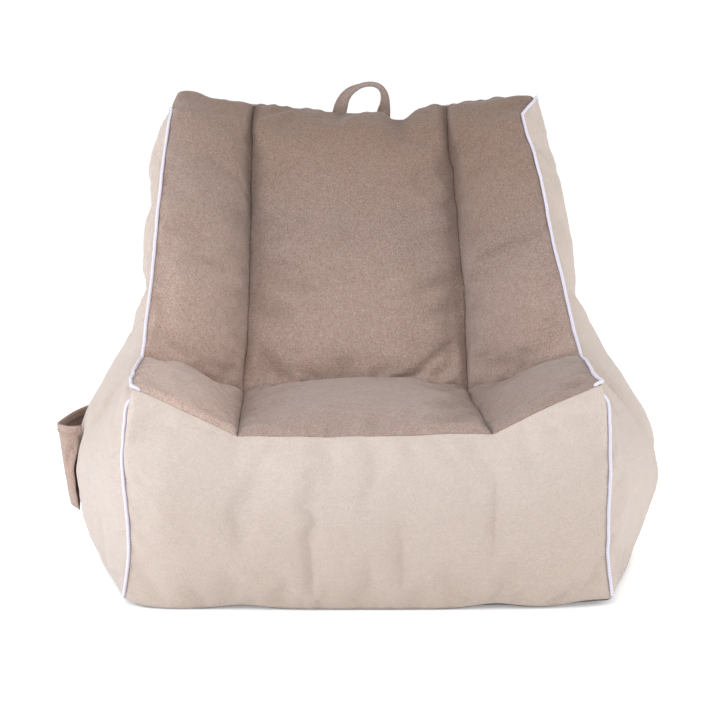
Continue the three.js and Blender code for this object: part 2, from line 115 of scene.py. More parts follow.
# How far the cloth rolls up in front of the top seam, at each panel's left end, middle and right end.
CREST = {
    "back_left_panel": (0.016, 0.008, 0.006),
    "back_centre_panel": (0.006, 0.009, 0.007),
    "back_right_panel": (0.005, 0.007, 0.008),
}
CREST_AT = 0.93
CREST_SPREAD = 0.07

# The zip runs straight this far to each side of the middle, then bends forwards to the corners.
ZIP_Z = 0.075
ZIP_Y = 0.410
ZIP_STRAIGHT = 0.236
# How far the cloth beside the zip stays clear of its middle.
ZIP_SLOT = 0.013

# Cells of the settling mesh along each stretch of seam.
FINE = 5
CELLS = {
    "arm": 3 * FINE, "seat": 6 * FINE, "arm_length": 5 * FINE, "back": 8 * FINE, "top": 3 * FINE,
    "front": 6 * FINE, "rear_low": FINE,
}

# The side walls' belly: the height of its middle, how far it spreads, and how far it stands out.
BELLY_HEIGHT = 0.185
BELLY_SPREAD = 0.134
BELLY_DEPTH = 0.072
BELLY_EVERYWHERE = 0.010

# How much fuller or flatter than the plain belly each side wall is, by height.
WALL_HEIGHTS = (
    0.05, 0.09, 0.13, 0.17, 0.215, 0.257, 0.30, 0.34, 0.38, 0.42, 0.46, 0.50, 0.54, 0.58, 0.62, 0.66, 0.70)
WALL_FULLNESS = {
    "left": (0.007, 0.000, -0.003, -0.007, -0.008, -0.013, -0.012, -0.012, -0.006,
             -0.001, 0.007, 0.011, 0.014, 0.020, 0.029, 0.030, 0.026),
    "right": (0.000, 0.004, 0.009, 0.005, -0.004, -0.012, -0.010, -0.011, -0.008,
              -0.005, 0.001, 0.008, 0.014, 0.022, 0.026, 0.018, 0.010),
}

CLOTH_THICKNESS = 0.0022
PIPING_RADIUS = 0.0025
PIPING_HEIGHT = 0.0005
DETAIL_CELL = 0.007


# ---------- Curves and grids ----------

def dense(points, per_span=40):
    """A smooth curve through the points, with many samples."""
    p = np.array(points, float)
    if len(p) == 2:
        return p[0] + (p[1] - p[0]) * np.linspace(0, 1, per_span)[:, None]
    t = np.concatenate([[0], np.cumsum(np.sqrt(np.linalg.norm(np.diff(p, axis=0), axis=1)))])
    slope = np.gradient(p, t, axis=0)
    out = []
    for k in range(len(p) - 1):
        h = t[k + 1] - t[k]
        s = np.linspace(0, 1, per_span, endpoint=k == len(p) - 2)[:, None]
        a = (1 + 2 * s) * (1 - s) ** 2 * p[k] + s * (1 - s) ** 2 * h * slope[k]
        b = s * s * (3 - 2 * s) * p[k + 1] + s * s * (s - 1) * h * slope[k + 1]
        out.append(a + b)
    return np.concatenate(out)


def lengths(p):
    return np.concatenate([[0], np.cumsum(np.linalg.norm(np.diff(p, axis=0), axis=1))])


def spans(grid):
    """The mean distances across a grid and up it."""
    across, up = (np.linalg.norm(np.diff(grid, axis=k), axis=2).sum(axis=k).mean() for k in (1, 0))
    return across, up


def read_path(p, s, at):
    """Points of a path p, whose distances are s, at other distances."""
    return np.stack([np.interp(at, s, p[:, k]) for k in range(3)], axis=-1)


def seam(points, cells):
    """A curve through the points, cut into cells of equal length."""
    p = dense(points)
    s = lengths(p)
    out = read_path(p, s, np.linspace(0, s[-1], cells + 1))
    out[0], out[-1] = points[0], points[-1]
    return out


def joined(*seams):
    return np.concatenate([seams[0]] + [s[1:] for s in seams[1:]])


def coons(bottom, top, left, right):
    """A grid that meets four seams; rows run upwards and columns to the right, as seen from outside."""
    u = np.linspace(0, 1, len(bottom))[None, :, None]
    v = np.linspace(0, 1, len(left))[:, None, None]
    across = left[:, None] * (1 - u) + right[:, None] * u
    along = bottom[None] * (1 - v) + top[None] * v
    low = bottom[0] * (1 - u) + bottom[-1] * u
    high = top[0] * (1 - u) + top[-1] * u
    grid = across + along - (low * (1 - v) + high * v)
    grid[0], grid[-1], grid[:, 0], grid[:, -1] = bottom, top, left, right
    return grid


def fractions(grid):
    rows, columns = grid.shape[:2]
    return np.meshgrid(np.linspace(0, 1, columns), np.linspace(0, 1, rows))


def dome(t, sharp=0.5):
    return np.clip(1 - (2 * t - 1) ** 2, 0, 1) ** sharp


def swell(grid, direction, depth, across=0.5, up=0.5):
    """Pushes a grid's inner points along a direction, most in the middle, with its boundary kept."""
    u, v = fractions(grid)
    d = np.array(direction, float)
    d /= np.linalg.norm(d)
    return grid + (depth * dome(u, across) * dome(v, up))[..., None] * d


def bellied(grid, sign):
    """A side wall that bulges outwards, most a little above the floor."""
    u, v = fractions(grid)
    reach = BELLY_DEPTH * np.exp(-(((grid[..., 2] - BELLY_HEIGHT) / BELLY_SPREAD) ** 2)) + BELLY_EVERYWHERE
    fade = np.sin(np.pi * u).clip(0) ** 0.7 * (1 - (1 - v) ** 10) * (1 - v ** 8)
    fuller = np.interp(grid[..., 2], WALL_HEIGHTS, WALL_FULLNESS["left" if sign < 0 else "right"])
    fuller *= np.sin(np.pi * u).clip(0) ** 0.45 * (1 - (1 - v) ** 10) * (1 - v ** 30)
    out = grid.copy()
    out[..., 0] += sign * (reach * fade + fuller)
    return out


def crested(name, grid):
    """A back panel whose top rolls up over its seam."""
    u, v = fractions(grid)
    height = np.interp(u, (0.1, 0.5, 0.9), CREST[name]) * np.sin(np.pi * u).clip(0) ** 0.35
    out = grid.copy()
    out[..., 2] += height * np.exp(-(((v - CREST_AT) / CREST_SPREAD) ** 2)) * (1 - v ** 60)
    return out


# ---------- The sewing pattern ----------

def side_seams(c, side, sign):
    """The seams of one side, by name, from its corners c."""
    back_rows = CELLS["back"] + CELLS["top"]
    rear = [(sign * x, y, z) for x, y, z in REAR_EDGE]
    arm = seam([c["arm_front"], *ARM_EDGE[side], c["arm_back"]], CELLS["arm_length"])
    back = seam([c["arm_back"], *BACK_EDGE[side], c["top_front"]], CELLS["back"])
    top = seam([c["top_front"], c["top_rear"]], CELLS["top"])
    low = seam([c["rear_foot"], c["zip_end"]], CELLS["rear_low"])
    high = seam([c["zip_end"], *rear, c["top_rear"]], CELLS["front"] - CELLS["rear_low"])
    foot = [c["front_foot"], c["base_middle"], c["rear_foot"]]
    return {
        "front_edge": seam([c["front_foot"], *FRONT_EDGE[side], c["arm_front"]], CELLS["front"]),
        "rear_low": low,
        "rear_high": high,
        "rear_edge": joined(low, high),
        "arm": arm,
        "back": joined(back, top),
        "outline": joined(arm, back, top),
        "foot": seam(foot, CELLS["arm_length"] + back_rows),
        "arm_inner": seam([c["seat_front"], c["seat_back"]], CELLS["arm_length"]),
        "arm_front": seam([c["arm_front"], *ARM_FRONT[side], c["seat_front"]], CELLS["arm"]),
        "arm_back": seam([c["arm_back"], c["seat_back"]], CELLS["arm"]),
        "back_seam": seam([c["seat_back"], *BACK_SEAM[side], c["wing_top"]], back_rows),
        "wing_top": seam([c["top_rear"], *WING_TOP[side], c["wing_top"]], CELLS["arm"]),
    }


def zip_line(cells):
    x = np.linspace(LEFT["zip_end"][0], RIGHT["zip_end"][0], cells + 1)
    past = np.clip(np.abs(x) - ZIP_STRAIGHT, 0, None) / (RIGHT["zip_end"][0] - ZIP_STRAIGHT)
    y = ZIP_Y - (ZIP_Y - LEFT["zip_end"][1]) * past ** 2
    return np.stack([x, y, np.full_like(x, ZIP_Z)], axis=1)


def sewing_pattern():
    """The seams, and the outer surface of every panel as a grid of points."""
    le, ri = side_seams(LEFT, "left", -1), side_seams(RIGHT, "right", 1)
    wide = 2 * CELLS["arm"] + CELLS["seat"]
    foot_front = seam([LEFT["front_foot"], *FOOT_FRONT, RIGHT["front_foot"]], wide)
    foot_rear = seam([LEFT["rear_foot"], *FOOT_REAR, RIGHT["rear_foot"]], wide)
    seat_front = seam([LEFT["seat_front"], *SEAT_FRONT, RIGHT["seat_front"]], CELLS["seat"])
    seat_back = seam([LEFT["seat_back"], RIGHT["seat_back"]], CELLS["seat"])
    top_rear = seam([LEFT["wing_top"], *TOP_REAR, RIGHT["wing_top"]], CELLS["seat"])
    zipped = zip_line(wide)
    front_top = joined(le["arm_front"], seat_front, ri["arm_front"][::-1])
    rear_top = joined(le["wing_top"], top_rear, ri["wing_top"][::-1])
    grids = {
        "front_panel": swell(
            coons(foot_front, front_top, le["front_edge"], ri["front_edge"]), (0, -1, 0), 0.024, 0.55, 0.6),
        "left_side_panel": bellied(
            coons(le["foot"][::-1], le["outline"][::-1], le["rear_edge"], le["front_edge"]), -1),
        "right_side_panel": bellied(
            coons(ri["foot"], ri["outline"], ri["front_edge"], ri["rear_edge"]), 1),
        "seat_panel": swell(
            coons(seat_front, seat_back, le["arm_inner"], ri["arm_inner"]), (0, 0, 1), 0.027, 0.5, 0.4),
        "left_arm_panel": swell(
            coons(le["arm_front"], le["arm_back"], le["arm"], le["arm_inner"]),
            (0.25, 0, 1), 0.015, 0.6, 0.5),
        "right_arm_panel": swell(
            coons(ri["arm_front"][::-1], ri["arm_back"][::-1], ri["arm_inner"], ri["arm"]),
            (-0.25, 0, 1), 0.015, 0.6, 0.5),
        "back_left_panel": swell(
            coons(le["arm_back"], le["wing_top"], le["back"], le["back_seam"]),
            (0.2, -1, 0.5), 0.022, 0.5, 0.35),
        "back_centre_panel": swell(
            coons(seat_back, top_rear, le["back_seam"], ri["back_seam"]), (0, -1, 0.4), 0.024, 0.4, 0.35),
        "back_right_panel": swell(
            coons(ri["arm_back"][::-1], ri["wing_top"][::-1], ri["back_seam"], ri["back"]),
            (-0.2, -1, 0.5), 0.022, 0.5, 0.35),
        "rear_panel": swell(
            coons(zipped[::-1], rear_top[::-1], ri["rear_high"], le["rear_high"]), (0, 1, 0), 0.014),
        "rear_strip": coons(foot_rear[::-1], zipped[::-1], ri["rear_low"], le["rear_low"]),
    }
    for name in CREST:
        grids[name] = crested(name, grids[name])
    ring = joined(foot_front, ri["foot"], foot_rear[::-1], le["foot"][::-1])[:-1]
    return grids, ring


# ---------- Settling the cover as cloth ----------

KEY_STEP = 2e-5


def key_of(p):
    return tuple(np.round(np.asarray(p) / KEY_STEP).astype(int))


def row_quads(ids):
    """Faces between the rows of a grid of point numbers."""
    return np.stack([ids[:-1, :-1], ids[:-1, 1:], ids[1:, 1:], ids[1:, :-1]], axis=-1).reshape(-1, 4)


def ring_quads(ids):
    """Faces between closed rings of point numbers."""
    nxt = np.roll(ids, -1, axis=1)
    return np.stack([ids[:-1], nxt[:-1], nxt[1:], ids[1:]], axis=-1).reshape(-1, 4).tolist()


def weld(grids, ring):
    """One closed mesh from all the panels: points, faces, and each panel's grid of point numbers."""
    numbers, points, faces, index = {}, [], [], {}

    def number(p):
        k = key_of(p)
        if k not in numbers:
            numbers[k] = len(points)
            points.append(tuple(p))
        return numbers[k]

    for name, grid in grids.items():
        ids = np.array([[number(p) for p in row] for row in grid])
        index[name] = ids
        faces.extend(row_quads(ids).tolist())
    faces.append([number(p) for p in ring][::-1])
    return np.array(points), faces, index


def mesh_of(name, points, faces):
    me = bpy.data.meshes.new(name)
    me.from_pydata([tuple(p) for p in points], [], [list(f) for f in faces])
    me.update()
    return me


def added(name, data):
    ob = bpy.data.objects.new(name, data)
    bpy.context.scene.collection.objects.link(ob)
    return ob


def read_vertices(me, what):
    """The "co" or the "normal" of every vertex."""
    out = np.empty(len(me.vertices) * 3, np.float32)
    me.vertices.foreach_get(what, out)
    return out.reshape(-1, 3).astype(float)


def normals_of(points, faces):
    me = mesh_of("measuring", points, faces)
    out = read_vertices(me, "normal")
    bpy.data.meshes.remove(me)
    return out


SETTLE_FRAMES = 22
SETTLE_CLOTH = {
    "quality": 7, "mass": 0.25, "air_damping": 4, "tension_stiffness": 18, "compression_stiffness": 18,
    "shear_stiffness": 6, "bending_stiffness": 0.4, "vertex_group_mass": "seams", "use_pressure": True,
    "uniform_pressure_force": 1.6, "shrink_min": -0.035,
}
# Points lower than this stay on the floor.
HELD_BELOW = 0.006
# The furthest that a point may settle outwards, inwards and sideways.
MOST_OUT = 0.016
MOST_IN = 0.010
MOST_DRIFT = 0.004

# Share of the simulation's broad swelling that is kept. Its folds and creases are kept whole.
BROAD_SHARE = {"left_side_panel": 0.0, "right_side_panel": 0.0, "rear_panel": 0.3}
BROAD_SHARE_ELSEWHERE = 0.45
BLUR_PASSES = 24


def blurred(a):
    """A grid of numbers smoothed over a few cells, falling to nothing past its edges."""
    for _ in range(BLUR_PASSES):
        for axis in (0, 1):
            edge = [(1, 1) if k == axis else (0, 0) for k in (0, 1)]
            b = np.pad(a, edge)
            a = 0.5 * a + 0.25 * (np.take(b, range(2, b.shape[axis]), axis)
                                  + np.take(b, range(b.shape[axis] - 2), axis))
    return a


def settled(points, faces, index):
    """The welded cover after a short cloth simulation with its seams held, as displacements of its points."""
    ob = added("settling", mesh_of("settling", points, faces))
    held = set()
    for ids in index.values():
        held.update(np.concatenate([ids[0], ids[-1], ids[:, 0], ids[:, -1]]).tolist())
    held.update(np.nonzero(points[:, 2] < HELD_BELOW)[0].tolist())
    group = ob.vertex_groups.new(name="seams")
    group.add([int(i) for i in held], 1.0, "REPLACE")
    cloth = ob.modifiers.new("cloth", "CLOTH")
    for key, value in SETTLE_CLOTH.items():
        setattr(cloth.settings, key, value)
    cloth.settings.effector_weights.gravity = 0
    cloth.collision_settings.use_self_collision = False
    cloth.point_cache.frame_start = 1
    cloth.point_cache.frame_end = SETTLE_FRAMES
    scene = bpy.context.scene
    for f in range(1, SETTLE_FRAMES + 1):
        scene.frame_set(f)
    result = ob.evaluated_get(bpy.context.evaluated_depsgraph_get())
    moved = read_vertices(result.to_mesh(), "co") - points
    result.to_mesh_clear()
    scene.frame_set(1)
    bpy.data.objects.remove(ob, do_unlink=True)
    normal = normals_of(points, faces)
    along = (moved * normal).sum(axis=1)
    drift = moved - along[:, None] * normal
    for name, ids in index.items():
        share = BROAD_SHARE.get(name, BROAD_SHARE_ELSEWHERE)
        along[ids[1:-1, 1:-1]] -= (1 - share) * blurred(along[ids])[1:-1, 1:-1]
    most = np.where(along > 0, MOST_OUT, MOST_IN)
    along = most * np.tanh(along / most)
    size = np.linalg.norm(drift, axis=1, keepdims=True)
    drift *= np.minimum(1, MOST_DRIFT / np.maximum(size, 1e-9))
    return along[:, None] * normal + drift


# ---------- Fine surfaces: seams, puckers and lumps on the settled cover ----------

def spline_weights(cells, t):
    """Weights that read a smooth curve through cells + 1 points at the fractions t."""
    x = np.asarray(t) * cells
    i = np.clip(np.floor(x).astype(int), 0, cells - 1)
    f = x - i
    out = np.zeros((len(x), cells + 1))
    rows = np.arange(len(x))
    terms = {
        -1: -0.5 * f + f ** 2 - 0.5 * f ** 3,
        0: 1 - 2.5 * f ** 2 + 1.5 * f ** 3,
        1: 0.5 * f + 2 * f ** 2 - 1.5 * f ** 3,
        2: -0.5 * f ** 2 + 0.5 * f ** 3,
    }
    for step, w in terms.items():
        k = i + step
        low, high = k < 0, k > cells
        inside = ~(low | high)
        out[rows[inside], k[inside]] += w[inside]
        out[rows[low], 0] += 2 * w[low]
        out[rows[low], 1] -= w[low]
        out[rows[high], cells] += 2 * w[high]
        out[rows[high], cells - 1] -= w[high]
    return out


def read_grid(grid, u, v):
    """A grid read at columns u and rows v, as fractions."""
    wu = spline_weights(grid.shape[1] - 1, u)
    wv = spline_weights(grid.shape[0] - 1, v)
    return np.einsum("ai,ijk,bj->abk", wv, grid, wu)


def unit(a):
    return a / np.maximum(np.linalg.norm(a, axis=-1, keepdims=True), 1e-12)


# Distances from a seam at which its panel has points. The first is turned in by the seam allowance.
EDGE_STATIONS = (0.0, 0.0, 0.0012, 0.0030, 0.0055, 0.0090)
ALLOWANCE = 0.007
ZIP_ALLOWANCE = 0.0018
SEAM_GAP = 0.0002


def stations(length, start=SEAM_GAP, end=SEAM_GAP, cell=DETAIL_CELL):
    """Fractions of a length, packed close beside its two ends, where the cloth rolls into its seams."""
    near = start + np.array(EDGE_STATIONS)
    far = length - end - np.array(EDGE_STATIONS)[::-1]
    count = max(2, round((far[0] - near[-1]) / cell))
    middle = np.linspace(near[-1], far[0], count + 1)[1:-1]
    return np.concatenate([near, middle, far]) / length


def waves(points, wavelength, seed, count=14):
    """Smooth lumps with about this wavelength, from -1 to 1, the same for the same place and seed."""
    rng = np.random.default_rng(seed)
    total = np.zeros(points.shape[:-1])
    for _ in range(count):
        k = rng.normal(size=3)
        k *= 2 * np.pi / wavelength / np.linalg.norm(k) * rng.uniform(0.6, 1.5)
        total += np.sin(points @ k + rng.uniform(0, 2 * np.pi))
    return total / math.sqrt(count)


def wobble(s, wavelength, seed):
    """A smooth line of lumps along a distance s."""
    rng = np.random.default_rng(seed)
    total = np.zeros_like(s)
    for _ in range(6):
        total += np.sin(2 * np.pi * s / (wavelength * rng.uniform(0.6, 1.7)) + rng.uniform(0, 2 * np.pi))
    return total / 2.4


FLOOR_CLEARANCE = 0.0016
# Height over the floor by which the lumps reach their full size, then each lump's height, length and seed.
LUMPS_START = 0.05
LUMPS = ((0.0022, 0.19, 3), (0.0010, 0.07, 5), (0.0003, 0.024, 8))


def lumpy(points, normals):
    """The slack and lumps of cloth over loose beads. They fade out where the cover meets the floor."""
    near_floor = np.clip(points[..., 2] / LUMPS_START, 0, 1)
    rise = sum(height * waves(points, length, seed) for height, length, seed in LUMPS)
    out = points + normals * (rise * near_floor)[..., None]
    out[..., 2] = np.maximum(out[..., 2], FLOOR_CLEARANCE)
    return out


# How deep the back's two long seams lie, from their foot to their top, as a share of the most.
OPENING_OF_DEEP_SEAMS = ((0.0, 0.25, 0.6, 0.8, 0.93, 1.0), (0.5, 0.6, 1.0, 0.9, 0.4, 0.2))

# Height over the floor by which the seams roll in fully.
ROLL_START = 0.02
# How far from the seam the puckers start, and how far they run, as a share of their spacing.
PUCKER_START = 0.006
PUCKER_REACH = 0.45

# How the cloth rolls in at each kind of seam: the roll's depth and width, its puckers' size and spacing.
SEAM_KINDS = {
    "plain": (0.0024, 0.0050, 0.0011, 0.045),
    "piped": (0.0022, 0.0040, 0.0010, 0.050),
    "deep": (0.0130, 0.0140, 0.0016, 0.060),
    "gathered": (0.0040, 0.0060, 0.0018, 0.038),
    "zipped": (0.0008, 0.0040, 0.0004, 0.060),
    "floor": (0.0000, 0.0050, 0.0006, 0.060),
}

# Seams of each panel: left, right, bottom, top, as seen from outside.
PANEL_SEAMS = {
    "front_panel": ("piped", "piped", "floor", "plain"),
    "left_side_panel": ("piped", "piped", "floor", "piped"),
    "right_side_panel": ("piped", "piped", "floor", "piped"),
    "seat_panel": ("plain", "plain", "plain", "gathered"),
    "left_arm_panel": ("piped", "plain", "plain", "plain"),
    "right_arm_panel": ("plain", "piped", "plain", "plain"),
    "back_left_panel": ("piped", "deep", "plain", "gathered"),
    "back_centre_panel": ("deep", "deep", "gathered", "gathered"),
    "back_right_panel": ("deep", "piped", "plain", "gathered"),
    "rear_panel": ("piped", "piped", "zipped", "gathered"),
    "rear_strip": ("piped", "piped", "floor", "zipped"),
}
CREASED = ("seat_panel", "left_arm_panel", "right_arm_panel")
BROWN = CREASED + ("back_left_panel", "back_centre_panel", "back_right_panel")


def panel_surface(name, grid, normals, seed):
    """The finished outer surface of a panel, with its distances across and up in metres."""
    across, up = spans(grid)
    trims = {"rear_panel": (ZIP_SLOT, SEAM_GAP), "rear_strip": (SEAM_GAP, ZIP_SLOT)}
    trim = trims.get(name, (SEAM_GAP, SEAM_GAP))
    u, v = stations(across), stations(up, *trim)
    points = read_grid(grid, u, v)
    facing = unit(read_grid(normals, u, v))
    su, sv = np.meshgrid(u * across, v * up)
    reach = (su, across - su, sv - trim[0] + SEAM_GAP, up - sv - trim[1] + SEAM_GAP)
    along = (sv, sv, su, su)
    sink = np.zeros_like(su)
    turned_in = np.zeros_like(su)
    for k, kind in enumerate(PANEL_SEAMS[name]):
        depth, width, pucker, spacing = SEAM_KINDS[kind]
        edge = ((slice(None), 0), (slice(None), -1), (0, slice(None)), (-1, slice(None)))[k]
        turned_in[edge] = np.maximum(turned_in[edge], ZIP_ALLOWANCE if kind == "zipped" else ALLOWANCE)
        if kind == "deep":
            depth = depth * np.interp(sv / up, *OPENING_OF_DEEP_SEAMS)
        sink += depth * np.exp(-reach[k] / width)
        gathers = wobble(along[k], spacing, seed + k) * (1 - np.exp(-reach[k] / PUCKER_START))
        sink += pucker * gathers * np.exp(-reach[k] / (PUCKER_REACH * spacing))
    sink += turned_in
    near_floor = np.clip(points[..., 2] / ROLL_START, 0, 1)
    return lumpy(points - facing * (sink * near_floor)[..., None], facing), su, sv


def grid_mesh(name, points, su, sv):
    rows, columns = points.shape[:2]
    ids = np.arange(rows * columns).reshape(rows, columns)
    quads = row_quads(ids)
    me = mesh_of(name, points.reshape(-1, 3), quads.tolist())
    uv = me.uv_layers.new(name="cloth")
    loops = quads.reshape(-1)
    flat = np.stack([su.reshape(-1)[loops], sv.reshape(-1)[loops]], axis=1)
    uv.data.foreach_set("uv", flat.astype(np.float32).reshape(-1))
    return me


def lay_cloth(me, place):
    """Lays the weave on a mesh by a rule that turns a point into cloth directions."""
    uv = me.uv_layers.new(name="cloth")
    for loop in me.loops:
        uv.data[loop.index].uv = place(me.vertices[loop.vertex_index].co)


def paint_light_and_shade(me, values):
    """Stores the painted light and shade at each point, as a share of the cloth's own colour."""
    painted_light_and_shade = me.attributes.new("painted_light_and_shade", "FLOAT", "POINT")
    painted_light_and_shade.data.foreach_set("value", np.asarray(values, np.float32).reshape(-1))


def object_of(me, material, thickness=0.0):
    """A smooth object of a mesh, thickened inwards."""
    ob = added(me.name, me)
    me.materials.append(material)
    me.polygons.foreach_set("use_smooth", [True] * len(me.polygons))
    if thickness:
        solid = ob.modifiers.new("thickness", "SOLIDIFY")
        solid.thickness = thickness
        solid.offset = -1
    return ob


# ---------- Tubes, straps and stitches ----------

def frames_along(path):
    """Unit directions along a path, and a steady pair of directions square to it."""
    tangent = unit(np.gradient(path, axis=0))
    side = np.cross(tangent[0], (0.3, 0.9, 0.2))
    sides = []
    for t in tangent:
        side = side - t * np.dot(side, t)
        side /= np.linalg.norm(side)
        sides.append(side.copy())
    sides = np.array(sides)
    return tangent, sides, np.cross(tangent, sides)


def swept_mesh(name, rings):
    """A closed tube through rings of points, each ring anticlockwise seen from the path's end."""
    count, around = rings.shape[:2]
    ids = np.arange(count * around).reshape(count, around)
    faces = ring_quads(ids) + [ids[0][::-1].tolist(), ids[-1].tolist()]
    me = mesh_of(name, rings.reshape(-1, 3), faces)
    s = lengths(rings.mean(axis=1))
    uv = me.uv_layers.new(name="cloth")
    ring_of = {i: divmod(i, around) for i in range(count * around)}
    for poly in me.polygons:
        places = [ring_of[me.loops[k].vertex_index] for k in poly.loop_indices]
        wraps = len(places) == 4 and {p[1] for p in places} == {0, around - 1}
        for k, (row, col) in zip(poly.loop_indices, places):
            turn = (around if wraps and col == 0 else col) / around
            uv.data[k].uv = (turn, s[row])
    return me


# How the ends of a cord are rounded: where its first ring lies, and the least share of its section.
CORD_END = (0.12, 0.02)


def cord_mesh(name, path, radius, sides=12):
    """A round cord with rounded ends."""
    s = lengths(path)
    _, a, b = frames_along(path)
    end = np.minimum(s, s[-1] - s) / radius
    r = radius * np.sqrt(np.clip(1 - (1 - np.clip(end + CORD_END[0], 0, 1)) ** 2, CORD_END[1], 1))
    angle = np.linspace(0, 2 * np.pi, sides, endpoint=False)
    spoke = a[:, None] * np.cos(angle)[None, :, None] + b[:, None] * np.sin(angle)[None, :, None]
    return swept_mesh(name, path[:, None] + spoke * r[:, None, None])


def even(points, step):
    """A smooth path through the points with even steps."""
    p = dense(points, 60) if len(points) < 60 else np.array(points)
    s = lengths(p)
    return read_path(p, s, np.linspace(0, s[-1], max(3, round(s[-1] / step))))


# A stitch's thickness along it, as shares of its length and of its most, how far it sinks in, and its sides.
STITCH_PLACES = np.array((-0.5, -0.3, 0.0, 0.3, 0.5))
STITCH_THICKNESS = (0.15, 0.8, 1.0, 0.8, 0.15)
STITCH_SINKS = 0.45
STITCH_SIDES = 5
STITCHES_PROUD = 0.0002


def stitches(name, rows, material, length=0.0032, gap=0.0016, radius=0.00042):
    """Rows of small raised thread stitches. Each row is a path and the outward directions along it."""
    verts, faces = [], []
    angle = np.linspace(0, 2 * np.pi, STITCH_SIDES, endpoint=False)
    for path, out in rows:
        s = lengths(path)
        for middle in np.arange(0.5 * (length + gap), s[-1] - 0.5 * length, length + gap):
            line = read_path(path, s, middle + STITCH_PLACES * length)
            n = unit(read_path(out, s, middle))
            side = unit(np.cross(line[-1] - line[0], n))
            start = len(verts)
            for centre, thick in zip(line, STITCH_THICKNESS):
                lift = n * radius * (thick - STITCH_SINKS)
                for a in angle:
                    verts.append(centre + lift + radius * thick * (side * math.cos(a) + n * math.sin(a)))
            ids = start + np.arange(len(line) * STITCH_SIDES).reshape(len(line), STITCH_SIDES)
            faces.extend(ring_quads(ids))
            faces.append(ids[0][::-1].tolist())
            faces.append(ids[-1].tolist())
    return object_of(mesh_of(name, verts, faces), material)


# ---------- Materials ----------

class Nodes:
    """A small helper that adds and links shader nodes in one material."""

    def __init__(self, name, roughness, sheen=0.0, metallic=0.0, specular=0.3):
        self.material = bpy.data.materials.new(name)
        self.material.use_nodes = True
        self.tree = self.material.node_tree
        self.shader = self.tree.nodes["Principled BSDF"]
        self.shader.inputs["Roughness"].default_value = roughness
        self.shader.inputs["Metallic"].default_value = metallic
        self.shader.inputs["Specular IOR Level"].default_value = specular
        self.shader.inputs["Sheen Weight"].default_value = sheen
        self.shader.inputs["Sheen Roughness"].default_value = 0.45

    def add(self, kind, values=None, **settings):
        node = self.tree.nodes.new(kind)
        for key, value in settings.items():
            setattr(node, key, value)
        for key, value in (values or {}).items():
            if hasattr(value, "is_output"):
                self.tree.links.new(value, node.inputs[key])
            else:
                node.inputs[key].default_value = value
        return node

    def place(self):
        return self.add("ShaderNodeTexCoord").outputs["Object"]

    def cloth(self):
        return self.add("ShaderNodeUVMap", uv_map="cloth").outputs["UV"]

    def stretched(self, vector, scale):
        return self.add("ShaderNodeMapping", {"Vector": vector, "Scale": scale}).outputs["Vector"]

    def noise(self, vector, scale, detail=3.0, roughness=0.55):
        values = {"Vector": vector, "Scale": scale, "Detail": detail, "Roughness": roughness}
        return self.add("ShaderNodeTexNoise", values).outputs["Fac"]

    def level(self, value, low, high, to_low=0.0, to_high=1.0):
        values = {"Value": value, "From Min": low, "From Max": high, "To Min": to_low, "To Max": to_high}
        return self.add("ShaderNodeMapRange", values).outputs["Result"]

    def maths(self, operation, a, b):
        return self.add("ShaderNodeMath", {0: a, 1: b}, operation=operation).outputs["Value"]

    def mix(self, factor, a, b, blend="MIX"):
        factor_socket, a_socket, b_socket, colour_out = 0, 6, 7, 2
        values = {factor_socket: factor, a_socket: a, b_socket: b}
        return self.add("ShaderNodeMix", values, data_type="RGBA", blend_type=blend).outputs[colour_out]

    def colour(self, value):
        self.tree.links.new(value, self.shader.inputs["Base Color"])

    def bump(self, *reliefs):
        """Raises one relief on another, each by its height, strength and distance."""
        values = {}
        for height, strength, distance in reliefs:
            values.update({"Height": height, "Strength": strength, "Distance": distance})
            values["Normal"] = self.add("ShaderNodeBump", values).outputs["Normal"]
        self.tree.links.new(values["Normal"], self.shader.inputs["Normal"])


def rgba(r, g, b):
    return (r, g, b, 1.0)


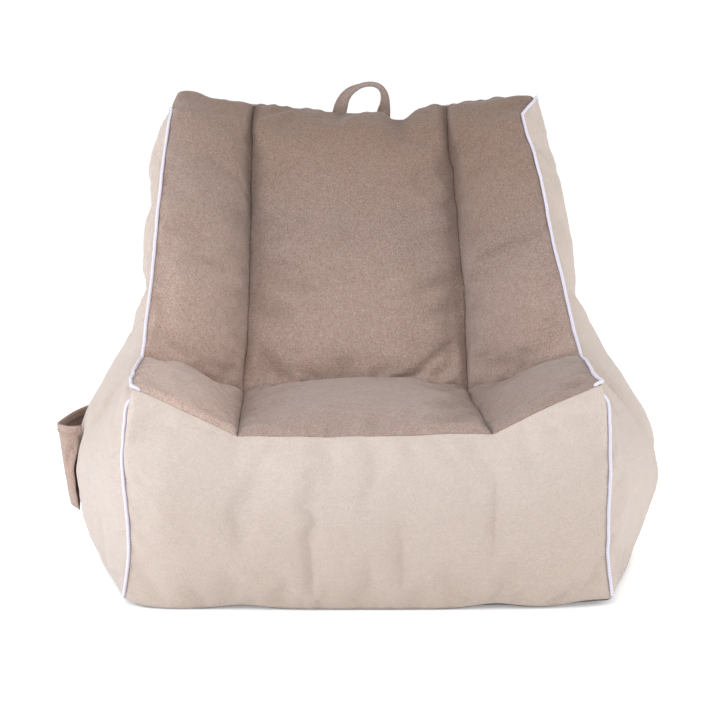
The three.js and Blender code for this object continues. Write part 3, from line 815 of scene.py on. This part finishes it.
def suede(name, dark, middle, light, creasing, sheen, crease_size=(12.0, 150.0, 1.0), flecking=1.0,
          with_painted_light=True):
    """Short-piled micro-suede: flecked grain, faint cross creases, soft patches where the pile turns.

    One with painted light and shade is also scaled by the mesh's painted light and shade number, and turns
    warmer where that number is under 1, as painted shade.
    """
    n = Nodes(name, roughness=0.94, sheen=sheen, specular=0.15)
    place, cloth = n.place(), n.cloth()
    patches = n.level(n.noise(place, 9.0, 3.0, 0.5), 0.36, 0.64)
    mottle = n.level(n.noise(place, 75.0, 3.0, 0.6), 0.34, 0.66)
    grain = n.level(n.noise(n.stretched(place, (1.0, 1.0, 0.6)), 170.0, 5.0, 0.85), 0.41, 0.59)
    flecks = n.level(n.noise(n.stretched(place, (1.0, 1.0, 0.7)), 380.0, 3.0, 0.9), 0.53, 0.63)
    speckle = n.level(n.noise(place, 620.0, 3.0, 0.9), 0.42, 0.58)
    pits = n.level(n.noise(place, 480.0, 2.0, 0.8), 0.44, 0.60)
    creases = n.level(n.noise(n.stretched(cloth, crease_size), 1.0, 4.0, 0.65), 0.48, 0.70)
    base = n.mix(n.level(patches, 0.0, 1.0, 0.32, 0.68), dark, light)
    base = n.mix(0.72, base, middle)
    layers = (
        (mottle, 0.10, light), (creases, creasing, light), (grain, 0.55 * flecking, dark),
        (flecks, 0.62 * flecking, light), (speckle, 0.75, light), (pits, 0.34 * flecking, dark),
    )
    for layer, share, colour in layers:
        base = n.mix(n.maths("MULTIPLY", layer, share), base, colour)
    tinge = n.level(n.noise(place, 150.0, 4.0, 0.8), 0.40, 0.60)
    rosy, cool = rgba(1.04, 0.97, 0.965), rgba(0.965, 1.0, 0.99)
    base = n.mix(flecking, base, n.mix(1.0, base, n.mix(tinge, rosy, cool), "MULTIPLY"))
    # Painted light and shade: the colour is made lighter or darker by the mesh's painted number.
    if with_painted_light:
        painted_light_and_shade = n.add("ShaderNodeAttribute", attribute_name="painted_light_and_shade").outputs["Fac"]
        scaled = n.add("ShaderNodeVectorMath", {0: base, "Scale": painted_light_and_shade}, operation="SCALE")
        # Painted shade is tinted warmer where the painted number falls below 1.
        painted_shade_warmth = n.mix(n.level(painted_light_and_shade, 0.60, 1.0), rgba(1.13, 1.0, 0.87), rgba(1.0, 1.0, 1.0))
        base = n.mix(1.0, scaled.outputs["Vector"], painted_shade_warmth, "MULTIPLY")
    n.colour(base)
    n.bump((mottle, 0.20, 0.0009), (creases, 0.45, 0.0012), (grain, 0.55, 0.0007), (speckle, 0.50, 0.0003))
    return n.material


def woven(name, dark, light, threads, roughness=0.85, sheen=0.2, depth=0.0003):
    """A plain weave of threads a given number to the metre, in the cloth's own directions."""
    n = Nodes(name, roughness, sheen=sheen, specular=0.25)
    cloth = n.cloth()
    split = n.add("ShaderNodeSeparateXYZ", {"Vector": cloth})
    waves_of = []
    for axis in ("X", "Y"):
        turns = n.maths("MULTIPLY", split.outputs[axis], threads * 2 * math.pi)
        waves_of.append(n.maths("SINE", turns, 0.0))
    weave = n.level(n.maths("MULTIPLY", waves_of[0], waves_of[1]), -1.0, 1.0)
    fuzz = n.level(n.noise(n.place(), 300.0, 3.0), 0.3, 0.7)
    base = n.mix(weave, dark, light)
    n.colour(n.mix(n.maths("MULTIPLY", fuzz, 0.35), base, dark))
    n.bump((weave, 0.8, depth), (fuzz, 0.3, depth))
    return n.material


def corded(name, dark, light, twists):
    """The sleeve of the piping: fine threads wound slantwise round the cord."""
    n = Nodes(name, 0.75, sheen=0.25, specular=0.25)
    split = n.add("ShaderNodeSeparateXYZ", {"Vector": n.cloth()})
    slant = n.maths("ADD", n.maths("MULTIPLY", split.outputs["Y"], twists), split.outputs["X"])
    threads = n.level(n.maths("SINE", n.maths("MULTIPLY", slant, 2 * math.pi), 0.0), -1.0, 1.0)
    fuzz = n.level(n.noise(n.place(), 500.0, 3.0), 0.3, 0.7)
    n.colour(n.mix(n.maths("MULTIPLY", threads, 0.8), dark, light))
    n.bump((threads, 0.7, 0.0003), (fuzz, 0.3, 0.0003))
    return n.material


def dull_metal(name, dark, light):
    n = Nodes(name, 0.42, metallic=1.0, specular=0.5)
    worn = n.level(n.noise(n.place(), 260.0, 4.0, 0.7), 0.35, 0.7)
    n.colour(n.mix(worn, dark, light))
    n.tree.links.new(n.level(worn, 0.0, 1.0, 0.30, 0.52), n.shader.inputs["Roughness"])
    n.bump((worn, 0.15, 0.0002))
    return n.material


def plastic(name, dark, light):
    n = Nodes(name, 0.45, specular=0.4)
    specks = n.level(n.noise(n.place(), 700.0, 3.0), 0.3, 0.7)
    n.colour(n.mix(specks, dark, light))
    n.bump((specks, 0.2, 0.0001))
    return n.material


def beads(name):
    """Packed white beads about 4 mm across."""
    n = Nodes(name, 0.6, specular=0.3)
    cells = n.add("ShaderNodeTexVoronoi", {"Vector": n.place(), "Scale": 240.0}).outputs["Distance"]
    # Painted shade: each bead greys towards its edge, where the gaps between the beads lie.
    n.colour(n.mix(n.level(cells, 0.0, 0.7), rgba(0.92, 0.92, 0.9), rgba(0.6, 0.6, 0.58)))
    n.bump((n.level(cells, 0.0, 0.6, 1.0, 0.0), 0.9, 0.0015))
    return n.material


BEIGE_TONES = (rgba(0.415, 0.340, 0.295), rgba(0.500, 0.425, 0.377), rgba(0.585, 0.515, 0.472))
BEIGE_SUEDE = suede("beige_micro_suede", *BEIGE_TONES, 0.30, 0.3, flecking=0.55)
BROWN_TONES = (rgba(0.150, 0.100, 0.079), rgba(0.262, 0.186, 0.155), rgba(0.410, 0.322, 0.284))
BROWN_SUEDE = suede("brown_micro_suede", *BROWN_TONES, 0.22, 0.25)
CREASED_SUEDE = suede("brown_micro_suede_creased", *BROWN_TONES, 0.55, 0.25, (20.0, 75.0, 1.0))
BROWN_TRIM = suede("brown_micro_suede_trim", *BROWN_TONES, 0.20, 0.25, with_painted_light=False)
POCKET_TONES = (rgba(0.205, 0.128, 0.100), rgba(0.350, 0.234, 0.191), rgba(0.520, 0.396, 0.345))
POCKET_SUEDE = suede("brown_micro_suede_pocket", *POCKET_TONES, 0.20, 0.25, with_painted_light=False)
WHITE_CORD = corded("white_piping", rgba(0.50, 0.47, 0.58), rgba(0.80, 0.79, 0.87), 420.0)
BROWN_THREAD = woven("brown_thread", rgba(0.16, 0.10, 0.075), rgba(0.30, 0.21, 0.165), 900.0)
BEIGE_THREAD = woven("beige_thread", rgba(0.50, 0.40, 0.33), rgba(0.72, 0.62, 0.54), 900.0)
BASE_CLOTH = woven("dark_base_cloth", rgba(0.05, 0.042, 0.038), rgba(0.12, 0.10, 0.09), 450.0)
LINER_CLOTH = woven("liner_cloth", rgba(0.66, 0.64, 0.59), rgba(0.86, 0.85, 0.81), 700.0)
ZIP_TAPE = woven("zip_tape", rgba(0.36, 0.28, 0.23), rgba(0.56, 0.46, 0.39), 1100.0)
ZIP_COIL = plastic("zip_coil", rgba(0.30, 0.24, 0.20), rgba(0.50, 0.41, 0.35))
ZIP_METAL = dull_metal("zip_metal", rgba(0.30, 0.29, 0.27), rgba(0.62, 0.60, 0.57))
BEADS = beads("polystyrene_beads")


# ---------- The pieces ----------

# Where the front hem stands off the floor: the middle of each shallow wave, its half width and its height.
# The waves fade out at a height over the floor, and between two distances back.
HEM_WAVES = ((-0.176, 0.042, 0.0060), (0.186, 0.045, 0.0070), (0.318, 0.040, 0.0060))
HEM_FADE = 0.090
HEM_FRONT = (-0.25, -0.35)


def hem_lift(points):
    x, y, z = points.T
    rise = sum(height * np.exp(-(((x - middle) / width) ** 2)) for middle, width, height in HEM_WAVES)
    low = np.clip(1 - z / HEM_FADE, 0, 1) ** 2
    front = np.clip((y - HEM_FRONT[0]) / (HEM_FRONT[1] - HEM_FRONT[0]), 0, 1)
    return rise * low * front


GRIDS, RING = sewing_pattern()
POINTS, FACES, INDEX = weld(GRIDS, RING)
SETTLED = POINTS + settled(POINTS, FACES, INDEX)
SETTLED[:, 2] += hem_lift(SETTLED)
NORMALS = normals_of(SETTLED, FACES)
INDEX_OF = {key_of(p): k for k, p in enumerate(POINTS)}
SURFACE = {name: SETTLED[ids] for name, ids in INDEX.items()}
FACING = {name: NORMALS[ids] for name, ids in INDEX.items()}


def placed(ob, body, slot, *nodes):
    """Gives an object its body and hides the CAD parts that it stands for; the slot is not used."""
    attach(ob, body)
    if nodes:
        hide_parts(*nodes)
    return ob


# Painted light and shade on each panel, as a share of the cloth's own colour at its foot, half way up and at
# its top, to match the photograph.
PAINTED_LIGHT_AND_SHADE = {
    "front_panel": (0.89, 0.95, 1.09),
    "left_side_panel": (1.00, 0.99, 0.92),
    "right_side_panel": (1.01, 1.02, 0.94),
    "seat_panel": (1.19, 1.19, 1.19),
    "left_arm_panel": (1.62, 1.62, 1.62),
    "right_arm_panel": (1.05, 1.05, 1.05),
    "back_left_panel": (1.74, 1.05, 0.63),
    "back_centre_panel": (1.64, 1.03, 0.58),
    "back_right_panel": (1.42, 0.88, 0.58),
}
PAINTED_LIGHT_AND_SHADE_AT = (0.0, 0.5, 1.0)


def make_panels():
    for seed, (name, grid) in enumerate(GRIDS.items(), start=1):
        points, su, sv = panel_surface(name, SURFACE[name], FACING[name], 40 * seed)
        brown = name in BROWN
        material = BEIGE_SUEDE if not brown else CREASED_SUEDE if name in CREASED else BROWN_SUEDE
        me = grid_mesh(f"{name}_cloth", points, su, sv)
        # Painted light and shade: the panel's colour is made lighter or darker from its foot to its top.
        paint_light_and_shade(me, np.interp(sv / sv.max(), PAINTED_LIGHT_AND_SHADE_AT, PAINTED_LIGHT_AND_SHADE.get(name, (1, 1, 1))))
        ob = object_of(me, material, CLOTH_THICKNESS)
        placed(ob, "cover", "cover_brown" if brown else "cover_beige", name)
        width, length = float(np.ptp(su)), float(np.ptp(sv))


# How deep the liner and the beads lie under the cover, and how much of that every point must keep.
LINER_DEPTH = 0.028
FILL_DEPTH = 0.031
CLEAR_SHARE = 0.98
INNER_PASSES = 3
LINER_THICKNESS = 0.0012
# How high they stay over the floor, plus a share of their depth, then their lumps' height, length and seed.
INNER_FLOOR = (0.004, 0.35)
INNER_LUMPS = (0.0012, 0.06, 21)


def inner_shell(name, depth, material, thickness=0.0):
    """The whole cover's surface again, some way inside it, on the settling mesh."""
    smooth = SETTLED - NORMALS * depth
    outside = BVHTree.FromPolygons(SETTLED.tolist(), FACES)
    for _ in range(INNER_PASSES):
        for k, p in enumerate(smooth):
            nearest, facing, _, _ = outside.find_nearest(Vector(p))
            away = Vector(p) - nearest
            inward = away.normalized() if away.dot(facing) < 0 else -facing
            if away.dot(inward) < CLEAR_SHARE * depth:
                smooth[k] = nearest + inward * depth
    smooth[:, 2] = np.maximum(smooth[:, 2], INNER_FLOOR[0] + INNER_FLOOR[1] * depth)
    height, length, seed = INNER_LUMPS
    smooth += NORMALS * (height * waves(smooth, length, seed))[:, None]
    me = mesh_of(name, smooth, FACES)
    lay_cloth(me, lambda p: (p.x + 0.7 * p.y, p.z + 0.2 * p.y))
    return object_of(me, material, thickness)


def make_inside():
    filling = inner_shell("bead_filling", FILL_DEPTH, BEADS)
    placed(filling, "cover", "beads", "bead_fill")
    liner = inner_shell("liner_bag", LINER_DEPTH, LINER_CLOTH, LINER_THICKNESS)
    placed(liner, "cover", "liner_cloth", "inner_liner", "liner_closure")


# Piping: the step along its path, the tail it ends in at the arm, and how far that stays off the corner.
PIPING_STEP = 0.003
TAIL_LENGTH = 0.016
TAIL_MARGIN = 0.017
FRONT_TAIL = (0.006, 0.0015, 0.0)
BACK_TAIL = ((0.013, 0.001, -0.006), (0.007, -0.001, -0.0015))


def piping_path(points, normals):
    return even(lumpy(points, normals) + normals * PIPING_HEIGHT, PIPING_STEP)


def add_piping(where, path):
    cord = object_of(cord_mesh(f"piping_{where}_cord", path, PIPING_RADIUS), WHITE_CORD)
    placed(cord, "cover", "piping", f"piping_{where}")


def make_piping():
    front, fn = SURFACE["front_panel"], FACING["front_panel"]
    sides = {
        "left": (0, "left_side_panel", slice(None, None, -1), 0, 1),
        "right": (-1, "right_side_panel", slice(None), -1, -1),
    }
    for side, (column, wall, order, rear_column, inward) in sides.items():
        up = piping_path(front[:, column], fn[:, column])
        s = lengths(up)
        up = up[(s > 0.002) & (s < s[-1] - TAIL_MARGIN)]
        s = lengths(up)
        tail = np.clip((s - (s[-1] - TAIL_LENGTH)) / TAIL_LENGTH, 0, 1)[:, None] ** 2
        mirror = np.array((inward, 1, 1))
        add_piping(f"front_{side}", up + tail * mirror * FRONT_TAIL)
        grid, normal = SURFACE[wall], FACING[wall]
        outline, facing = grid[-1][order], normal[-1][order]
        rear, rear_facing = grid[::-1, rear_column][1:], normal[::-1, rear_column][1:]
        over = piping_path(np.concatenate([outline, rear]), np.concatenate([facing, rear_facing]))
        tail = over[0] + mirror * BACK_TAIL
        add_piping(f"back_{side}", even(np.concatenate([tail, over[2:-1]]), PIPING_STEP))


# The handle's centre line as (x, z), its width, and how far it is turned to lie flat, in degrees.
HANDLE_Y = 0.221
HANDLE_LINE = (
    (-0.0440, 0.688, 0.0240, 0), (-0.0425, 0.700, 0.0240, 8), (-0.0353, 0.7206, 0.0240, 42),
    (-0.0250, 0.7328, 0.0245, 60), (-0.0087, 0.7415, 0.0245, 77), (0.0034, 0.7448, 0.0245, 78),
    (0.0137, 0.7450, 0.0245, 78), (0.0244, 0.7415, 0.0245, 75), (0.0316, 0.7337, 0.0245, 70),
    (0.0350, 0.7224, 0.0245, 60), (0.0350, 0.7110, 0.0240, 48), (0.0330, 0.6980, 0.0240, 20),
    (0.0320, 0.6870, 0.0240, 6),
)
STRAP_THICKNESS = 0.0042
# The strap's cross-section, as shares of its width and of its thickness.
STRAP_SECTION = ((-0.5, -0.28), (-0.47, -0.46), (-0.40, -0.50), (-0.36, -0.36), (0.0, -0.42), (0.36, -0.36),
                 (0.40, -0.50), (0.47, -0.46), (0.5, -0.28), (0.5, 0.28), (0.47, 0.46), (0.40, 0.50),
                 (0.36, 0.36), (0.0, 0.42), (-0.36, 0.36), (-0.40, 0.50), (-0.47, 0.46), (-0.5, 0.28))
# Where the strap's stitches run, as shares of its half width and thickness, and its points along.
STRAP_STITCH_EDGE = 0.38
STRAP_STITCH_DEPTH = 0.40
STRAP_STEPS = 90


def sewn_in(piece):
    """A piece of the handle, with its place baked into its mesh."""
    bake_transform(piece)


def make_handle():
    control = np.array(HANDLE_LINE)
    line = dense([(x, HANDLE_Y, z) for x, z, _, _ in HANDLE_LINE], 24)
    s = lengths(line)
    at = np.linspace(0, s[-1], STRAP_STEPS)
    centre = read_path(line, s, at)
    reached = s[[np.argmin(np.hypot(line[:, 0] - x, line[:, 2] - z)) for x, z, _, _ in HANDLE_LINE]]
    width = np.interp(at, reached, control[:, 2])
    turn = np.interp(at, reached, np.radians(control[:, 3]))
    tangent = unit(np.gradient(centre, axis=0))
    level = np.array((0.0, 1.0, 0.0))
    flat = np.cross(tangent, level)
    across = flat * np.cos(turn)[:, None] + level * np.sin(turn)[:, None]
    through = np.cross(across, tangent)
    section = np.array(STRAP_SECTION)
    rings = (centre[:, None] + across[:, None] * (section[:, 0][None, :, None] * width[:, None, None])
             + through[:, None] * (section[:, 1][None, :, None] * STRAP_THICKNESS))
    me = swept_mesh("carry_handle_strap", rings)
    me.flip_normals()
    strap = object_of(me, BROWN_TRIM)
    sewn_in(strap)
    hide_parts("carry_handle")
    rows = []
    for edge in (-1, 1):
        for face in (-1, 1):
            path = centre + across * (edge * STRAP_STITCH_EDGE * width)[:, None]
            path = path + through * (face * STRAP_THICKNESS * STRAP_STITCH_DEPTH)
            rows.append((path[4:-4], (through * face)[4:-4]))
    sewn_in(stitches("handle_stitches", rows, BROWN_THREAD))


# The pocket on the left wall: its edges, how far out its foot and mouth reach, and how far the mouth sags.
POCKET_REAR = 0.122
POCKET_FRONT = -0.070
POCKET_BOTTOM = 0.066
POCKET_MOUTH = 0.203
POCKET_FOOT_REACH = 0.482
POCKET_MOUTH_REACH = 0.504
POCKET_SLUMP = 0.020
POCKET_STANDOFF = 0.0042
POCKET_CLOTH = 0.0020
POCKET_CREASE = 0.0016
POCKET_FOOT_ARCH = 0.004
# The hem folded over its mouth: how far down it comes, its cloth, and how far it stands off the pocket.
HEM_HEIGHT = 0.013
HEM_CLOTH = 0.0011
HEM_PROUD = 0.0014
HEM_RISE = 0.0018
POCKET_COLUMNS = 37
POCKET_ROWS = 25
POCKET_SEAM_AT = 0.012


def on_wall(y, z):
    """The left wall's surface and outward direction at a distance back and a height."""
    grid, normal = SURFACE["left_side_panel"], FACING["left_side_panel"]
    u, v = 0.5, 0.3
    step = 1e-3
    for _ in range(12):
        here = read_grid(grid, [u, u + step], [v, v + step])
        p, du, dv = here[0, 0], here[0, 1] - here[0, 0], here[1, 0] - here[0, 0]
        jac = np.array([[du[1], dv[1]], [du[2], dv[2]]]) / step
        move = np.linalg.solve(jac, (y - p[1], z - p[2]))
        u, v = np.clip((u, v) + move, 0.01, 0.99)
    return read_grid(grid, [u], [v])[0, 0], unit(read_grid(normal, [u], [v])[0, 0])


def pocket_surface(s, t, beyond):
    """Points of the pocket's cloth at fractions s along and t up it, some way beyond its back face."""
    rows = []
    for up in t:
        row = []
        for along in s:
            y = POCKET_REAR + (POCKET_FRONT - POCKET_REAR) * along
            z = POCKET_BOTTOM + (POCKET_MOUTH - POCKET_BOTTOM) * up
            z += POCKET_FOOT_ARCH * math.sin(math.pi * along) * (1 - up)
            point, out = on_wall(y, z)
            bulge = max(0.0, math.sin(math.pi * along ** 1.45)) ** 0.55
            reach = POCKET_FOOT_REACH + (POCKET_MOUTH_REACH - POCKET_FOOT_REACH) * up
            room = max(0.0, reach - abs(point[0]) - POCKET_STANDOFF)
            hang = bulge * room * min(1.0, up / 0.03) ** 0.5
            middle = math.sin(math.pi * along) * math.sin(math.pi * up)
            crease = POCKET_CREASE * math.sin(9 * along + 5 * up) * middle
            slump = np.array((0.0, 0.0, -POCKET_SLUMP * bulge * up ** 3))
            row.append(point + out * (POCKET_STANDOFF + hang + crease + beyond) + slump)
        rows.append(row)
    return np.array(rows)


def make_pocket():
    s = 0.5 - 0.5 * np.cos(np.pi * np.linspace(0, 1, POCKET_COLUMNS))
    t = np.linspace(0, 1, POCKET_ROWS)
    points = pocket_surface(s, t, POCKET_CLOTH)
    su, sv = np.meshgrid(s * (POCKET_REAR - POCKET_FRONT), t * (POCKET_MOUTH - POCKET_BOTTOM))
    pocket = object_of(grid_mesh("pocket_cloth", points, su, sv), POCKET_SUEDE, POCKET_CLOTH)
    placed(pocket, "cover", "cover_brown", "pocket_panel")
    width, height = spans(points)
    low = 1 - HEM_HEIGHT / (POCKET_MOUTH - POCKET_BOTTOM)
    hemmed = np.linspace(low, 1, 5)
    outside = pocket_surface(s, hemmed, POCKET_CLOTH + HEM_PROUD)
    inside = pocket_surface(s, hemmed, -HEM_PROUD)
    top = 0.5 * (outside[-1] + inside[-1]) + np.array((0.0, 0.0, HEM_RISE))
    fold = np.concatenate([outside, top[None], inside[::-1]])
    across = lengths(fold[0])[-1]
    down = lengths(fold[:, POCKET_COLUMNS // 2])
    hu, hv = np.meshgrid(s * across, down)
    hem = object_of(grid_mesh("pocket_hem_band", fold, hu, hv), POCKET_SUEDE, HEM_CLOTH)
    placed(hem, "cover", "cover_brown", "pocket_hem")
    rim = outside[1]
    out = unit(np.cross(np.gradient(rim, axis=0), np.array((0.0, 0.0, 1.0))))
    out *= np.sign(-out[:, :1])
    seam_line = pocket_surface(s, [POCKET_SEAM_AT], POCKET_CLOTH)[0]
    rows = [(rim + out * STITCHES_PROUD, out), (seam_line, out)]
    placed(stitches("pocket_stitches", rows, BROWN_THREAD), "cover", "cover_brown")


# ---------- The rear zip ----------

# The tapes, from near the zip's middle to far under the cloth, and how deep they lie.
TAPE_NEAR = 0.0016
TAPE_FAR = 0.0165
TAPE_DEPTH = 0.0030
TAPE_THICKNESS = 0.0009
TAPE_ROWS = 6
# The coils: the wire's turns, how far they lie from the zip's middle and under the cloth, and their ends.
COIL_PITCH = 0.0024
COIL_RADIUS = 0.00115
COIL_WIRE = 0.0005
COIL_REACH = 0.0009
COIL_DEPTH = 0.0006
COIL_FLATNESS = 0.8
COIL_END = 0.008
COIL_STEPS = 9
# The distances of the two stitched rows from the edge of the cloth beside the zip.
ZIP_STITCH_ROWS = (0.0025, 0.0075)


def zip_edge(side):
    """The zip line, its directions away from the zip along the cloth, and its directions outwards."""
    name, rows = ("rear_panel", (0, 1)) if side == "upper" else ("rear_strip", (-1, -2))
    grid, normal = SURFACE[name], FACING[name]
    return grid[rows[0]], unit(grid[rows[1]] - grid[rows[0]]), normal[rows[0]]


def make_zip():
    for side in ("upper", "lower"):
        line, away, out = zip_edge(side)
        reach = np.linspace(TAPE_NEAR, TAPE_FAR, TAPE_ROWS)
        path = np.stack([line + away * d - out * TAPE_DEPTH for d in reach])
        if side == "lower":
            path = path[::-1]
        s = lengths(line)
        su, sv = np.meshgrid(s, reach)
        tape = object_of(grid_mesh(f"zip_tape_{side}_cloth", path, su, sv), ZIP_TAPE, TAPE_THICKNESS)
        placed(tape, "cover", "zip_tape", f"zip_tape_{side}")
        turns = (s[-1] - 2 * COIL_END) / COIL_PITCH
        at = np.linspace(COIL_END, s[-1] - COIL_END, int(turns * COIL_STEPS))
        middle = [read_path(a, s, at) for a in (line, away, out)]
        angle = 2 * np.pi * (at - at[0]) / COIL_PITCH + (0 if side == "upper" else np.pi)
        beside = (COIL_REACH + COIL_RADIUS * np.cos(angle))[:, None]
        height = (-COIL_DEPTH + COIL_FLATNESS * COIL_RADIUS * np.sin(angle))[:, None]
        helix = middle[0] + middle[1] * beside + middle[2] * height
        placed(object_of(cord_mesh(f"zip_coil_{side}_wire", helix, COIL_WIRE, 5), ZIP_COIL),
               "cover", "zip_coil", f"zip_coil_{side}")
        rows = []
        for distance in ZIP_STITCH_ROWS:
            row = line + away * (ZIP_SLOT + distance) + out * STITCHES_PROUD
            rows.append((row[1:-1], out[1:-1]))
        placed(stitches(f"zip_stitches_{side}", rows, BEIGE_THREAD), "cover", "cover_beige")


METAL_EDGE = 0.0004


def softened(node):
    """A copy of a metal CAD part with its edges rounded."""
    ob = added(f"{node}_finished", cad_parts[node].data.copy())
    ob.data.materials.clear()
    ob.data.materials.append(ZIP_METAL)
    weld_points = ob.modifiers.new("joined", "WELD")
    weld_points.merge_threshold = 1e-5
    bevel = ob.modifiers.new("edges", "BEVEL")
    bevel.width = METAL_EDGE
    bevel.segments = 3
    bevel.limit_method = "ANGLE"
    bevel.angle_limit = math.radians(40)
    return ob


ZIP_METAL_BODIES = {
    "zip_slider": "slider", "zip_pull": "pull", "zip_stop_left": "cover", "zip_stop_right": "cover"}


def make_zip_metal():
    for node, body in ZIP_METAL_BODIES.items():
        placed(softened(node), body, "zip_metal", node)


# The base's outer rings: how far each lies inside the cover's edge, and its share of that edge's height.
BASE_RINGS = ((0.0035, 1.0), (0.011, 0.55), (0.020, 0.18), (0.030, 0.0))
BASE_HEIGHT = 0.0006
BASE_THICKNESS = 0.0016
EDGE_CLEARANCE = 0.002


def make_base():
    """The dark cloth under the chair: flat on the floor, rising inside the cover's lower edge."""
    edge = SETTLED[[INDEX_OF[key_of(p)] for p in RING]]
    outward = unit(np.roll(edge, -1, axis=0) - np.roll(edge, 1, axis=0))
    outward = unit(np.cross(outward, (0.0, 0.0, 1.0)))
    rings = []
    for inset, share in BASE_RINGS:
        p = edge - outward * inset
        p[:, 2] = BASE_HEIGHT + BASE_THICKNESS + share * np.maximum(edge[:, 2] - EDGE_CLEARANCE, 0)
        rings.append(p)
    flat = rings[-1]
    for k in np.linspace(0.92, 0.08, 12):
        p = flat * k
        p[:, 2] = flat[:, 2]
        rings.append(p)
    count = len(edge)
    ids = np.arange(len(rings) * count).reshape(len(rings), count)
    me = mesh_of("base_cloth", np.concatenate(rings), ring_quads(ids) + [ids[-1].tolist()])
    lay_cloth(me, lambda p: (p.x, p.y))
    base = object_of(me, BASE_CLOTH, BASE_THICKNESS)
    placed(base, "cover", "base_cloth", "base_panel")


# ---------- Floor, light and camera ----------

# The photograph's camera: its place, how many degrees it looks down, and its lens in millimetres.
CAMERA_PLACE = (-0.0078, -2.91, 0.7663)
CAMERA_DOWN = 9.1
CAMERA_LENS = 90.0

# The floor's corners and its own light.
FLOOR = [(-9, -9, 0), (9, -9, 0), (9, 9, 0), (-9, 9, 0)]
FLOOR_GLOW = 0.27

# The white surroundings' brightness low down and high up, between these heights of the direction.
SKY = {"From Min": 0.06, "From Max": 0.45, "To Min": 1.04, "To Max": 0.79}

# Each area light's place, what it points at, its size in metres, its watts and its colour.
WHITE = (1, 1, 1)
LIGHTS = {
    "key": ((-1.25, -2.0, 1.55), (0, -0.1, 0.30), 1.3, 21, WHITE),
    "left": ((-2.6, -0.9, 1.0), (0, 0, 0.3), 1.6, 31, (0.94, 1.0, 1.09)),
    "rear": ((0.4, 3.0, 1.0), (0, 0, 0.3), 1.8, 26, WHITE),
    "right": ((2.6, -0.9, 1.0), (0, 0, 0.3), 1.6, 29, WHITE),
}


def make_floor():
    """A white light table."""
    me = mesh_of("floor", FLOOR, [(0, 1, 2, 3)])
    n = Nodes("pale_floor", 0.9, specular=0.0)
    patches = n.level(n.noise(n.place(), 2.0), 0.3, 0.7)
    n.colour(n.mix(patches, rgba(0.93, 0.93, 0.93), rgba(0.95, 0.95, 0.95)))
    n.shader.inputs["Emission Color"].default_value = rgba(1, 1, 1)
    n.shader.inputs["Emission Strength"].default_value = FLOOR_GLOW
    floor = object_of(me, n.material)


def area_light(name, place, target, size, power, colour):
    light = bpy.data.lights.new(name, "AREA")
    light.size = size
    light.energy = power
    light.color = colour
    ob = added(name, light)
    ob.location = place
    ob.rotation_euler = (Vector(target) - Vector(place)).to_track_quat("-Z", "Y").to_euler()


def make_studio():
    """White walls under a dimmer ceiling, soft lights at the sides and behind, and a key in front."""
    scene = bpy.context.scene
    world = bpy.data.worlds.new("studio")
    scene.world = world
    world.use_nodes = True
    nodes, links = world.node_tree.nodes, world.node_tree.links
    back = nodes["Background"]
    back.inputs["Color"].default_value = (1, 1, 1, 1)
    towards = nodes.new("ShaderNodeTexCoord")
    split = nodes.new("ShaderNodeSeparateXYZ")
    height = nodes.new("ShaderNodeMapRange")
    for key, value in SKY.items():
        height.inputs[key].default_value = value
    links.new(towards.outputs["Generated"], split.inputs["Vector"])
    links.new(split.outputs["Z"], height.inputs["Value"])
    links.new(height.outputs["Result"], back.inputs["Strength"])
    for name, settings in LIGHTS.items():
        area_light(name, *settings)
    scene.view_settings.view_transform = "Standard"
    scene.view_settings.look = "None"
    camera = bpy.data.cameras.new("camera")
    camera.lens = CAMERA_LENS
    camera.sensor_width = 36
    camera.clip_end = 50
    ob = added("camera", camera)
    ob.location = CAMERA_PLACE
    ob.rotation_euler = (math.radians(90 - CAMERA_DOWN), 0, 0)
    scene.camera = ob


make_studio()
make_floor()
make_inside()
make_panels()
make_piping()
make_handle()
make_pocket()
make_zip()
make_zip_metal()
make_base()
